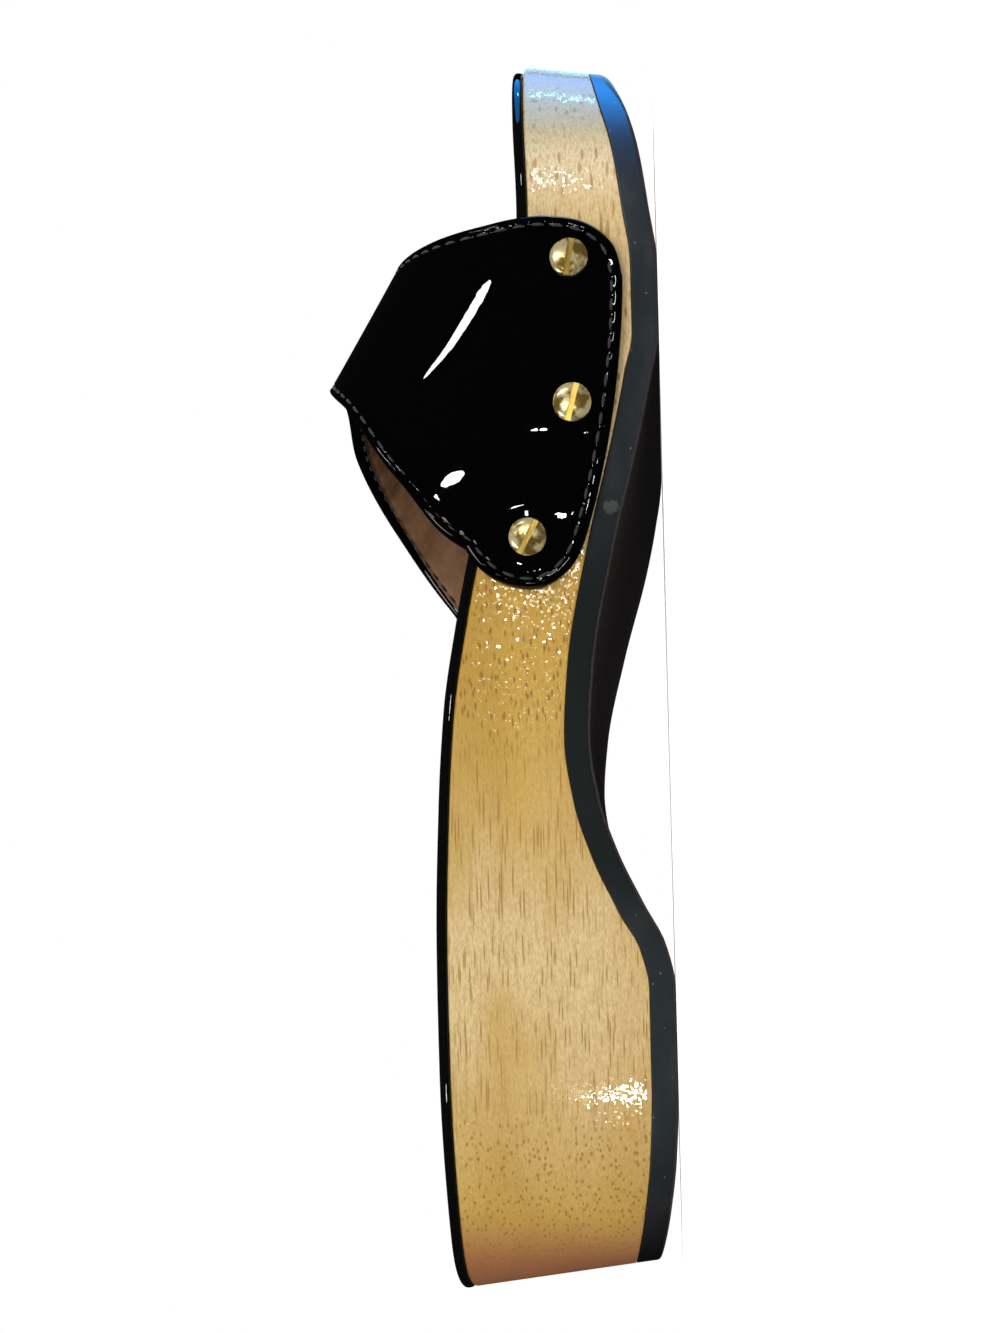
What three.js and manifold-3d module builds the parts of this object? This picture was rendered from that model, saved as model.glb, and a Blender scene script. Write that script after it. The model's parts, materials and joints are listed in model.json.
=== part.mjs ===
import * as THREE from 'three';
import * as BufferGeometryUtils from 'three/addons/utils/BufferGeometryUtils.js';
import Module from 'manifold-3d';

// A wooden slide sandal for the left foot, in millimetres.
// +X points to the toe, +Y to the outer side of the foot and +Z up, with the floor at Z = 0.

// Sole: overall sizes
const soleLength = 250.5;
const ballWidth = 88;
const heelHeight = 43.2;
const foreHeight = 24;
const archHeight = 15;
const toeSpring = 8.2;
const heelSpring = 4.4;
const rubberThickness = 4.9;
const insoleThickness = 1.8;
const heelDish = 2.2;
const ballDish = 1;
const heelDishEnd = -0.1;
const ballDishStart = 0.15;

// The arch runs obliquely across the sole: how far back it lies for each millimetre outwards,
// and where that starts to fade towards heel and toe, as shares of soleLength
const archSkew = 0.2;
const skewMiddle = -0.05;
const skewFull = 0.18;
const skewEnd = 0.38;

// Sole: edges
const sideTaper = 1.2;
const heelLean = 5.5;
const heelLeanStart = -0.33;
const toeLean = 3.5;
const toeLeanStart = 0.4;
const treadEdgeRadius = 0.8;
const toeEdgeRadius = 3;
const toeEdgeStart = 0.42;
const toeEdgeFull = 0.48;
const insoleEdgeRadius = 0.5;
const insoleToeInset = 1.4;
const insoleToeStart = 0.44;

// Strap
const strapWall = 2.6;
const strapRoom = 27.9;
const strapRise = 0.63;
const strapFullness = 2.1;
const crestOffset = -3;
const strapFoot = 0.5;
const flapBow = 0.9;
const bowRows = 2;

// Screws
const headDiameter = 7;
const headHeight = 1.9;
const headRim = 1.1;
const shankDiameter = 3;
const shankDepth = 11;
const slotWidth = 1.1;
const slotDepth = 0.9;

// Gap left between pieces that touch on the real shoe
const clearance = 0.3;

// Fineness of the meshes
const stepsPerSpan = 5;
const stepsAcross = 6;
const strapStepsPerRow = 3;
const strapStepsAcross = 14;
const roundSteps = 16;
const holeSteps = 12;

// Plan of the sole at the insole: along is a share of soleLength from mid-length, inner and outer are
// shares of ballWidth. The first row is the heel tip and the last is the toe tip.
const planRows = [
  { innerAlong: -0.5, inner: 0, outerAlong: -0.5, outer: 0 },
  { innerAlong: -0.476, inner: -0.182, outerAlong: -0.476, outer: 0.188 },
  { innerAlong: -0.426, inner: -0.29, outerAlong: -0.426, outer: 0.295 },
  { innerAlong: -0.334, inner: -0.352, outerAlong: -0.334, outer: 0.361 },
  { innerAlong: -0.171, inner: -0.33, outerAlong: -0.171, outer: 0.392 },
  { innerAlong: -0.035, inner: -0.335, outerAlong: -0.023, outer: 0.466 },
  { innerAlong: 0.125, inner: -0.437, outerAlong: 0.133, outer: 0.517 },
  { innerAlong: 0.2365, inner: -0.477, outerAlong: 0.2765, outer: 0.483 },
  { innerAlong: 0.38, inner: -0.443, outerAlong: 0.396, outer: 0.358 },
  { innerAlong: 0.468, inner: -0.3125, outerAlong: 0.478, outer: 0.165 },
  { innerAlong: 0.5, inner: -0.08, outerAlong: 0.5, outer: -0.08 },
];

// Underside along the inner edge: heel, arch and toe are shares of heelSpring, archHeight and toeSpring.
const treadRows = [
  { along: -0.5, heel: 1, arch: 0, toe: 0 },
  { along: -0.435, heel: 0.48, arch: 0, toe: 0 },
  { along: -0.37, heel: 0.13, arch: 0, toe: 0 },
  { along: -0.315, heel: 0, arch: 0, toe: 0 },
  { along: -0.242, heel: 0, arch: 0, toe: 0 },
  { along: -0.21, heel: 0, arch: 0.107, toe: 0 },
  { along: -0.179, heel: 0, arch: 0.373, toe: 0 },
  { along: -0.139, heel: 0, arch: 0.687, toe: 0 },
  { along: -0.099, heel: 0, arch: 0.9, toe: 0 },
  { along: -0.055, heel: 0, arch: 1, toe: 0 },
  { along: -0.003, heel: 0, arch: 0.933, toe: 0 },
  { along: 0.0765, heel: 0, arch: 0.647, toe: 0 },
  { along: 0.157, heel: 0, arch: 0.28, toe: 0 },
  { along: 0.204, heel: 0, arch: 0.11, toe: 0 },
  { along: 0.24, heel: 0, arch: 0, toe: 0 },
  { along: 0.298, heel: 0, arch: 0, toe: 0 },
  { along: 0.34, heel: 0, arch: 0, toe: 0.155 },
  { along: 0.388, heel: 0, arch: 0, toe: 0.35 },
  { along: 0.44, heel: 0, arch: 0, toe: 0.68 },
  { along: 0.5, heel: 0, arch: 0, toe: 1 },
];

// Top edge of the wood: heel and fore are shares of heelHeight and foreHeight.
const footRows = [
  { along: -0.5, heel: 0.973, fore: 0 },
  { along: -0.405, heel: 0.978, fore: 0 },
  { along: -0.305, heel: 0.992, fore: 0 },
  { along: -0.204, heel: 1, fore: 0 },
  { along: -0.104, heel: 0.983, fore: 0 },
  { along: -0.033, heel: 0.9, fore: 0.09 },
  { along: 0.037, heel: 0.7, fore: 0.31 },
  { along: 0.0975, heel: 0.4, fore: 0.695 },
  { along: 0.198, heel: 0.1, fore: 0.98 },
  { along: 0.279, heel: 0, fore: 1.025 },
  { along: 0.339, heel: 0, fore: 0.996 },
  { along: 0.4195, heel: 0, fore: 1.03 },
  { along: 0.5, heel: 0, fore: 1.067 },
];

// Cut of the strap from the inner flap's lower edge over the instep to the outer flap's lower edge.
// along is a share of soleLength. turn is 0 at the crest, 1 at the insole's edge and 2 at floor level,
// negative on the inner side.
const strapRows = [
  { frontAlong: 0.284, frontTurn: -1.765, backAlong: 0.1165, backTurn: -1.64 },
  { frontAlong: 0.309, frontTurn: -1.7, backAlong: 0.0815, backTurn: -1.575 },
  { frontAlong: 0.3265, frontTurn: -1.512, backAlong: 0.0625, backTurn: -1.46 },
  { frontAlong: 0.333, frontTurn: -1.25, backAlong: 0.0585, backTurn: -1.32 },
  { frontAlong: 0.332, frontTurn: -1.03, backAlong: 0.07, backTurn: -1.13 },
  { frontAlong: 0.328, frontTurn: -0.85, backAlong: 0.0965, backTurn: -0.965 },
  { frontAlong: 0.3265, frontTurn: -0.6, backAlong: 0.145, backTurn: -0.79 },
  { frontAlong: 0.3275, frontTurn: -0.3, backAlong: 0.2065, backTurn: -0.48 },
  { frontAlong: 0.3275, frontTurn: 0, backAlong: 0.2375, backTurn: 0 },
  { frontAlong: 0.3195, frontTurn: 0.3, backAlong: 0.2005, backTurn: 0.3 },
  { frontAlong: 0.3105, frontTurn: 0.6, backAlong: 0.1425, backTurn: 0.6 },
  { frontAlong: 0.2985, frontTurn: 0.85, backAlong: 0.074, backTurn: 0.85 },
  { frontAlong: 0.2905, frontTurn: 1.03, backAlong: 0.0125, backTurn: 1.03 },
  { frontAlong: 0.282, frontTurn: 1.25, backAlong: -0.018, backTurn: 1.3 },
  { frontAlong: 0.2745, frontTurn: 1.512, backAlong: -0.015, backTurn: 1.46 },
  { frontAlong: 0.2565, frontTurn: 1.7, backAlong: 0.003, backTurn: 1.575 },
  { frontAlong: 0.2305, frontTurn: 1.765, backAlong: 0.0395, backTurn: 1.64 },
];

// Screws: along and turn as in strapRows, tilt is the slot's angle from the sole's length in degrees.
const screwRows = [
  { name: 'screw_medial_front', along: 0.299, turn: -1.4, tilt: -10 },
  { name: 'screw_medial_middle', along: 0.192, turn: -1.475, tilt: -15 },
  { name: 'screw_medial_back', along: 0.0965, turn: -1.312, tilt: -30 },
  { name: 'screw_lateral_front', along: 0.2485, turn: 1.4, tilt: -12 },
  { name: 'screw_lateral_middle', along: 0.128, turn: 1.475, tilt: 20 },
  { name: 'screw_lateral_back', along: 0.019, turn: 1.312, tilt: -35 },
];

const wasm = await Module();
wasm.setup();

// 0 before from, 1 after to, and an even change between them
function fade(value, from, to) {
  const t = Math.min(1, Math.max(0, (value - from) / (to - from)));
  return t * t * (3 - 2 * t);
}

function lerp(a, b, t) {
  return a + (b - a) * t;
}

// Catmull-Rom value between b and c
function spline(a, b, c, d, t) {
  const bend = 2 * a - 5 * b + 4 * c - d;
  const twist = 3 * b - a - 3 * c + d;
  return 0.5 * (2 * b + (c - a) * t + bend * t * t + twist * t * t * t);
}

// A smooth curve through rows that never overshoots them, so level stretches stay level
function heightAlong(rows, share, heightOf) {
  const last = rows.length - 1;
  const at = Math.min(rows[last].along, Math.max(rows[0].along, share));
  const slope = (i) => {
    const rise = heightOf(rows[i + 1]) - heightOf(rows[i]);
    return rise / (rows[i + 1].along - rows[i].along);
  };
  const tangent = (i) => {
    if (i === 0) return slope(0);
    if (i === last) return slope(last - 1);
    const before = slope(i - 1);
    const after = slope(i);
    return before * after <= 0 ? 0 : (2 * before * after) / (before + after);
  };
  let i = 0;
  while (i < last - 1 && at > rows[i + 1].along) i += 1;
  const span = rows[i + 1].along - rows[i].along;
  const t = (at - rows[i].along) / span;
  const s = 1 - t;
  const ends = s * s * (1 + 2 * t) * heightOf(rows[i]) + t * t * (1 + 2 * s) * heightOf(rows[i + 1]);
  return ends + span * s * t * (s * tangent(i) - t * tangent(i + 1));
}

// The plan's control points in turn: heel tip, inner side, toe tip, outer side
const lastPlanRow = planRows.length - 1;
const planLoop = [];
for (let i = 0; i <= lastPlanRow; i += 1) {
  planLoop.push([planRows[i].innerAlong * soleLength, planRows[i].inner * ballWidth]);
}
for (let i = lastPlanRow - 1; i > 0; i -= 1) {
  planLoop.push([planRows[i].outerAlong * soleLength, planRows[i].outer * ballWidth]);
}

function planPoint(k) {
  const count = planLoop.length;
  const i = Math.floor(k);
  const [a, b, c, d] = [-1, 0, 1, 2].map((step) => planLoop[(i + step + count) % count]);
  return new THREE.Vector2(spline(a[0], b[0], c[0], d[0], k - i), spline(a[1], b[1], c[1], d[1], k - i));
}

// Outward normal of the plan, with the loop running counterclockwise
function planNormal(k) {
  const step = 0.01;
  const ahead = planPoint(k + step).sub(planPoint(k - step + planLoop.length)).normalize();
  return new THREE.Vector2(ahead.y, -ahead.x);
}

// side is -1 on the inner side and 1 on the outer side; s runs from 0 at the heel tip to the toe tip
function planKnot(side, s) {
  return side < 0 ? s : planLoop.length - s;
}

// The sole's edge at a place along the shoe: its Y and its slope there
function edgeAt(x, side) {
  let low = 0;
  let high = lastPlanRow;
  for (let i = 0; i < 40; i += 1) {
    const middle = (low + high) / 2;
    if (planPoint(planKnot(side, middle)).x < x) low = middle;
    else high = middle;
  }
  const normal = planNormal(planKnot(side, low));
  return { y: planPoint(planKnot(side, low)).y, normal };
}

function treadHeight(x, y) {
  const innerEdge = planRows[4].inner * ballWidth;
  const reach = 1 - fade(Math.abs(x / soleLength - skewMiddle), skewFull, skewEnd);
  const share = (x + archSkew * (y - innerEdge) * reach) / soleLength;
  return heightAlong(treadRows, share, (r) => r.heel * heelSpring + r.arch * archHeight + r.toe * toeSpring);
}

// Top face of the rubber: its thickness is measured square to the tread
function rubberTop(x, y) {
  const step = 1;
  const slope = (treadHeight(x + step, y) - treadHeight(x - step, y)) / (2 * step);
  return treadHeight(x, y) + rubberThickness * Math.hypot(1, slope);
}

function woodTopEdge(x) {
  return heightAlong(footRows, x / soleLength, (r) => r.heel * heelHeight + r.fore * foreHeight);
}

// across runs from -1 at the inner edge to 1 at the outer edge
function woodTop(x, across) {
  const depth = lerp(heelDish, ballDish, fade(x / soleLength, heelDishEnd, ballDishStart));
  const hollow = 1 - across * across;
  return woodTopEdge(x) - depth * hollow * hollow;
}

function insoleTopEdge(x) {
  return woodTopEdge(x) + clearance + insoleThickness;
}

// How far the sole's side lies inside the plan at a height: the sides taper, the heel's foot lies further
// forward than its top, and the toe's foot further back
function sideShift(x, height) {
  const low = 1 - height / heelHeight;
  const toeLow = 1 - height / (foreHeight * footRows[footRows.length - 1].fore);
  const heelward = 1 - fade(x / soleLength, -0.5, heelLeanStart);
  const toeward = fade(x / soleLength, toeLeanStart, 0.5);
  return { inward: sideTaper * low, forward: heelLean * low * heelward - toeLean * toeLow * toeward };
}

// One face of a sole layer, as rows of points from the inner to the outer edge with a tip at each end
function layerFace(heightAt, insetAt) {
  const steps = lastPlanRow * stepsPerSpan;
  const rimPoint = (side, s) => {
    const k = planKnot(side, s);
    const place = planPoint(k % planLoop.length);
    return { place, normal: planNormal(k % planLoop.length) };
  };
  const shifted = (place, push, across) => {
    const z = heightAt(place.x, place.y, across);
    const shift = sideShift(place.x, z);
    const inset = shift.inward + insetAt(place.x);
    return new THREE.Vector3(place.x + shift.forward - push.x * inset, place.y - push.y * inset, z);
  };
  const rows = [];
  for (let i = 0; i <= steps; i += 1) {
    const inner = rimPoint(-1, i / stepsPerSpan);
    const outer = rimPoint(1, i / stepsPerSpan);
    const isTip = i === 0 || i === steps;
    const count = isTip ? 0 : stepsAcross;
    const row = [];
    for (let j = 0; j <= count; j += 1) {
      const t = count ? j / count : 0;
      const place = inner.place.clone().lerp(outer.place, t);
      const push = inner.normal.clone().lerp(outer.normal, t);
      row.push(shifted(place, push, isTip ? 1 : 2 * t - 1));
    }
    rows.push(row);
  }
  return rows;
}

// The edge of a face, counterclockwise from the heel tip
function rimOf(face) {
  const last = face.length - 1;
  const inner = face.slice(0, last + 1).map((row) => row[0]);
  const outer = face.slice(1, last).map((row) => row[row.length - 1]);
  return inner.concat(outer.reverse());
}

function solidFrom(points, triangles) {
  const geometry = new THREE.BufferGeometry();
  const numbers = points.flatMap((p) => [p.x, p.y, p.z]);
  geometry.setAttribute('position', new THREE.Float32BufferAttribute(numbers, 3));
  geometry.setIndex(triangles);
  return BufferGeometryUtils.mergeVertices(geometry, 1e-4);
}

// A closed body from a lower face, the rims between and an upper face
function layerSolid(lowerFace, betweenRims, upperFace) {
  const points = [];
  const triangles = [];
  const addPoint = (p) => points.push(p) - 1;
  const addFace = (face, isUp) => {
    const ids = face.map((row) => row.map(addPoint));
    const addTriangle = (a, b, c) => triangles.push(...(isUp ? [a, b, c] : [a, c, b]));
    for (let i = 0; i + 1 < ids.length; i += 1) {
      const here = ids[i];
      const next = ids[i + 1];
      for (let j = 0; j < stepsAcross; j += 1) {
        if (here.length === 1) addTriangle(here[0], next[j], next[j + 1]);
        else if (next.length === 1) addTriangle(here[j], next[0], here[j + 1]);
        else {
          addTriangle(here[j], next[j], next[j + 1]);
          addTriangle(here[j], next[j + 1], here[j + 1]);
        }
      }
    }
    return rimOf(ids);
  };
  const rims = [addFace(lowerFace, false)];
  betweenRims.forEach((rim) => rims.push(rim.map(addPoint)));
  rims.push(addFace(upperFace, true));
  for (let r = 0; r + 1 < rims.length; r += 1) {
    const low = rims[r];
    const high = rims[r + 1];
    low.forEach((a, i) => {
      const next = (i + 1) % low.length;
      triangles.push(a, low[next], high[next], a, high[next], high[i]);
    });
  }
  return solidFrom(points, triangles);
}

function noInset() {
  return 0;
}

function treadRadius(x) {
  return lerp(treadEdgeRadius, toeEdgeRadius, fade(x / soleLength, toeEdgeStart, toeEdgeFull));
}

function makeOutsole() {
  const roundedRim = (angle) => {
    const lift = 1 - Math.cos(angle);
    const inset = 1 - Math.sin(angle);
    return layerFace((x, y) => treadHeight(x, y) + treadRadius(x) * lift, (x) => treadRadius(x) * inset);
  };
  const betweenRims = [Math.PI / 4, Math.PI / 2].map((angle) => rimOf(roundedRim(angle)));
  return layerSolid(roundedRim(0), betweenRims, layerFace(rubberTop, noInset));
}

function makeWood() {
  const bottom = layerFace((x, y) => rubberTop(x, y) + clearance, noInset);
  return layerSolid(bottom, [], layerFace((x, y, across) => woodTop(x, across), noInset));
}

// The insole ends a little short of the wood at the toe
function insoleInset(x) {
  return insoleToeInset * fade(x / soleLength, insoleToeStart, 0.5);
}

function makeInsole() {
  const level = (lift) => (x, y, across) => woodTop(x, across) + clearance + lift;
  const edgeInset = (x) => insoleInset(x) + insoleEdgeRadius;
  const lowRim = rimOf(layerFace(level(insoleEdgeRadius), insoleInset));
  const highRim = rimOf(layerFace(level(insoleThickness - insoleEdgeRadius), insoleInset));
  const bottom = layerFace(level(0), edgeInset);
  return layerSolid(bottom, [lowRim, highRim], layerFace(level(insoleThickness), edgeInset));
}

// Where the strap leaves the sole's side and starts to arch over the foot
function strapFootHeight(x) {
  return insoleTopEdge(x) + strapFoot;
}

function crestHeight(x) {
  const crestRow = strapRows.find((row) => row.frontTurn === 0);
  const frontX = crestRow.frontAlong * soleLength;
  return insoleTopEdge(frontX) + strapRoom + strapRise * (frontX - x);
}

// A point of the strap at a place along the shoe; lift is 0 on the lining and strapWall outside
function strapPoint(x, turn, lift) {
  const side = turn < 0 ? -1 : 1;
  const edge = edgeAt(x, side);
  const footHeight = strapFootHeight(x);
  const away = (clearance + lift) / Math.abs(edge.normal.y);
  const halfWidth = Math.abs(edge.y - crestOffset) + away;
  const climb = Math.hypot(1, strapRise);
  const height = crestHeight(x) - (strapWall - lift) * climb - footHeight;
  const drop = Math.abs(turn);
  if (drop > 1) {
    const z = footHeight * (2 - drop);
    const tuck = sideShift(x, z).inward;
    return new THREE.Vector3(x, crestOffset + side * (halfWidth - tuck), z);
  }
  const angle = (drop * Math.PI) / 2;
  const tuck = sideShift(x, footHeight).inward;
  const out = Math.sin(angle) ** (2 / strapFullness);
  const up = Math.max(0, Math.cos(angle)) ** (2 / strapFullness);
  return new THREE.Vector3(x, crestOffset + side * (halfWidth - tuck) * out, footHeight + height * up);
}

// Cut of the strap between two table rows
function strapCut(position) {
  const last = strapRows.length - 1;
  const i = Math.min(last - 1, Math.floor(position));
  const near = [i - 1, i, i + 1, i + 2].map((n) => strapRows[Math.min(last, Math.max(0, n))]);
  const value = (column) => {
    const [a, b, c, d] = near.map((row) => row[column]);
    return spline(a, b, c, d, position - i);
  };
  const names = ['frontAlong', 'frontTurn', 'backAlong', 'backTurn'];
  return Object.fromEntries(names.map((name) => [name, value(name)]));
}

function strapSheet(lift) {
  const last = strapRows.length - 1;
  const sheet = [];
  for (let i = 0; i <= last * strapStepsPerRow; i += 1) {
    const position = i / strapStepsPerRow;
    const cut = strapCut(position);
    const nearEnd = 1 - fade(Math.min(position, last - position), 0, bowRows);
    const row = [];
    for (let j = 0; j <= strapStepsAcross; j += 1) {
      const t = j / strapStepsAcross;
      const x = lerp(cut.frontAlong, cut.backAlong, t) * soleLength;
      const bow = (flapBow * nearEnd * 4 * t * (1 - t)) / strapFootHeight(x);
      const turn = lerp(cut.frontTurn, cut.backTurn, t);
      row.push(strapPoint(x, turn + Math.sign(turn) * bow, lift));
    }
    sheet.push(row);
  }
  return sheet;
}

function makeStrap() {
  const outside = strapSheet(strapWall);
  const lining = strapSheet(0);
  const lastRow = outside.length - 1;
  const lastColumn = strapStepsAcross;
  const points = outside.flat().concat(lining.flat());
  const outer = (i, j) => i * (lastColumn + 1) + j;
  const inner = (i, j) => (lastRow + 1 + i) * (lastColumn + 1) + j;
  const triangles = [];
  const addQuad = (a, b, c, d) => triangles.push(a, b, c, a, c, d);
  for (let i = 0; i < lastRow; i += 1) {
    for (let j = 0; j < lastColumn; j += 1) {
      addQuad(outer(i, j), outer(i + 1, j), outer(i + 1, j + 1), outer(i, j + 1));
      addQuad(inner(i, j), inner(i, j + 1), inner(i + 1, j + 1), inner(i + 1, j));
    }
    addQuad(outer(i + 1, 0), outer(i, 0), inner(i, 0), inner(i + 1, 0));
    addQuad(outer(i, lastColumn), outer(i + 1, lastColumn), inner(i + 1, lastColumn), inner(i, lastColumn));
  }
  for (let j = 0; j < lastColumn; j += 1) {
    addQuad(outer(0, j), outer(0, j + 1), inner(0, j + 1), inner(0, j));
    addQuad(outer(lastRow, j + 1), outer(lastRow, j), inner(lastRow, j), inner(lastRow, j + 1));
  }
  return solidFrom(points, triangles);
}

// Where a screw's head sits: a point just outside the strap and the direction it faces
function screwSeat(row) {
  const x = row.along * soleLength;
  const side = Math.sign(row.turn);
  const normal = edgeAt(x, side).normal;
  const facing = new THREE.Vector3(normal.x, normal.y, 0);
  const place = strapPoint(x, row.turn, strapWall);
  return { place, facing };
}

function aimed(geometry, seat) {
  const turn = new THREE.Quaternion().setFromUnitVectors(new THREE.Vector3(0, 1, 0), seat.facing);
  geometry.applyQuaternion(turn);
  geometry.translate(seat.place.x, seat.place.y, seat.place.z);
  return geometry;
}

function manifoldOf(geometry) {
  const bare = geometry.clone();
  bare.deleteAttribute('normal');
  bare.deleteAttribute('uv');
  const merged = BufferGeometryUtils.mergeVertices(bare, 1e-4);
  const vertProperties = Float32Array.from(merged.attributes.position.array);
  const triVerts = Uint32Array.from(merged.index.array);
  return new wasm.Manifold(new wasm.Mesh({ numProp: 3, vertProperties, triVerts }));
}

function geometryOf(manifold) {
  const mesh = manifold.getMesh();
  const geometry = new THREE.BufferGeometry();
  geometry.setAttribute('position', new THREE.BufferAttribute(mesh.vertProperties, 3));
  geometry.setIndex(Array.from(mesh.triVerts));
  return geometry;
}

function cutAway(geometry, tools) {
  const start = manifoldOf(geometry);
  return geometryOf(tools.reduce((body, tool) => body.subtract(manifoldOf(tool)), start));
}

// The hole for one screw, through the strap and blind in the wood
function screwHole(row) {
  const seat = screwSeat(row);
  const outside = headHeight;
  const depth = shankDepth + clearance;
  const radius = shankDiameter / 2 + clearance;
  const hole = new THREE.CylinderGeometry(radius, radius, depth + outside, holeSteps);
  hole.translate(0, (outside - depth) / 2, 0);
  return aimed(hole, seat);
}

// A domed brass head with a slot, on a plain shank
function makeScrew(row) {
  const headRadius = headDiameter / 2;
  const shankRadius = shankDiameter / 2;
  const seatLevel = clearance;
  const profile = [
    [0, -shankDepth],
    [shankRadius, -shankDepth],
    [shankRadius, seatLevel],
    [headRadius, seatLevel],
    [headRadius, seatLevel + headRim],
    [headRadius * 0.9, seatLevel + lerp(headRim, headHeight, 0.45)],
    [headRadius * 0.55, seatLevel + lerp(headRim, headHeight, 0.85)],
    [0, seatLevel + headHeight],
  ];
  const body = new THREE.LatheGeometry(profile.map(([r, h]) => new THREE.Vector2(r, h)), roundSteps);
  const slot = new THREE.BoxGeometry(headDiameter * 2, slotDepth * 2, slotWidth);
  slot.translate(0, seatLevel + headHeight, 0);
  slot.rotateY(THREE.MathUtils.degToRad(row.tilt));
  return aimed(cutAway(body, [slot]), screwSeat(row));
}

const rubber = new THREE.MeshStandardMaterial({ color: 0x30373d, roughness: 0.85, metalness: 0 });
const wood = new THREE.MeshStandardMaterial({ color: 0xd3ab6a, roughness: 0.3, metalness: 0 });
const insolePatent = new THREE.MeshStandardMaterial({ color: 0x0c0c0e, roughness: 0.25, metalness: 0 });
const strapPatent = new THREE.MeshStandardMaterial({ color: 0x09090b, roughness: 0.08, metalness: 0 });
const brass = new THREE.MeshStandardMaterial({ color: 0xd8b45a, roughness: 0.25, metalness: 1 });

const sandal = new THREE.Group();

function addPiece(name, geometry, material) {
  geometry.computeVertexNormals();
  const mesh = new THREE.Mesh(geometry, material);
  mesh.name = name;
  sandal.add(mesh);
}

const holes = screwRows.map(screwHole);
addPiece('outsole', makeOutsole(), rubber);
addPiece('wood_sole', cutAway(makeWood(), holes), wood);
addPiece('insole', makeInsole(), insolePatent);
addPiece('upper', cutAway(makeStrap(), holes), strapPatent);
screwRows.forEach((row) => addPiece(row.name, makeScrew(row), brass));

// The origin is the middle of the bounding box on the floor
const bounds = new THREE.Box3().setFromObject(sandal);
const middle = bounds.getCenter(new THREE.Vector3());
sandal.position.set(-middle.x, -middle.y, -bounds.min.z);
sandal.updateMatrixWorld(true);

export default sandal;
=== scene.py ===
import json
import math

import bpy
import numpy as np
from mathutils import Matrix, Vector
from mathutils.bvhtree import BVHTree
from mathutils.kdtree import KDTree

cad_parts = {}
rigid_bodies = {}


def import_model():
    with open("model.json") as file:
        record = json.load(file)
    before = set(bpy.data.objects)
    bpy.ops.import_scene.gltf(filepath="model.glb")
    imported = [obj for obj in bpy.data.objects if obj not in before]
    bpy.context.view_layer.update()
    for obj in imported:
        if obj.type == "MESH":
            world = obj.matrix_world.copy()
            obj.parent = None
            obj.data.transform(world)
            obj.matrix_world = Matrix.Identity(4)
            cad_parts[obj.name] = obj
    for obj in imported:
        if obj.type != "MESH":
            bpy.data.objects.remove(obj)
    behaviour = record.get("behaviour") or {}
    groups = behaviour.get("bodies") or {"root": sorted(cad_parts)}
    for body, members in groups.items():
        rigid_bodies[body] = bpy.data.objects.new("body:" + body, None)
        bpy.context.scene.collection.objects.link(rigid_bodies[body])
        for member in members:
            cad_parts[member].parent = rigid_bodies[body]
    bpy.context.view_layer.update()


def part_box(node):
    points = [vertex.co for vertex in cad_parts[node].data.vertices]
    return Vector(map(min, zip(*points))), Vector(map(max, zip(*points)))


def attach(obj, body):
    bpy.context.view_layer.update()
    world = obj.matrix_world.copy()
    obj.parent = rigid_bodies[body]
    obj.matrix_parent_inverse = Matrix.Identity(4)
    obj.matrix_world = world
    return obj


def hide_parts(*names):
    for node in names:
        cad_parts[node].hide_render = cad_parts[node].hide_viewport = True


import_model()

# Lengths in this file are millimetres in the sole's own coordinates: x from mid-length to the toe,
# y from the plan's middle line to the outer side of the foot, z up from the floor.
mm = 0.001


def table(columns, *rows):
    # each row as a dictionary, by the names of the columns
    return [dict(zip(columns.split(), row)) for row in rows]


# The sole: overall sizes and the fineness of its meshes
sole = {
    "length": 250.5,
    "ballWidth": 88,
    "heelHeight": 43.2,
    "foreHeight": 24,
    "archHeight": 15,
    "toeSpring": 8.2,
    "heelSpring": 4.4,
    "rubberThickness": 4.9,
    "insoleThickness": 1.8,
    "heelDish": 2.2,
    "ballDish": 1,
    "heelDishEnd": -0.1,
    "ballDishStart": 0.15,
    "archSkew": 0.2,
    "skewMiddle": -0.05,
    "skewFull": 0.18,
    "skewEnd": 0.38,
    "sideTaper": 1.2,
    "heelLean": 5.5,
    "heelLeanStart": -0.33,
    "toeLean": 3.5,
    "toeLeanStart": 0.4,
    "insoleToeInset": 1.4,
    "insoleToeStart": 0.44,
    "clearance": 0.3,
    "stepsPerSpan": 24,
    "stepsAcross": 36,
}

# Plan of the sole: along is a share of the length, inner and outer are shares of the ball width
planRows = table(
    "innerAlong inner outerAlong outer",
    (-0.5, 0, -0.5, 0),
    (-0.476, -0.182, -0.476, 0.188),
    (-0.426, -0.29, -0.426, 0.295),
    (-0.334, -0.352, -0.334, 0.361),
    (-0.171, -0.33, -0.171, 0.392),
    (-0.035, -0.335, -0.023, 0.466),
    (0.125, -0.437, 0.133, 0.517),
    (0.2365, -0.477, 0.2765, 0.483),
    (0.38, -0.443, 0.396, 0.358),
    (0.468, -0.3125, 0.478, 0.165),
    (0.5, -0.08, 0.5, -0.08),
)

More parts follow.
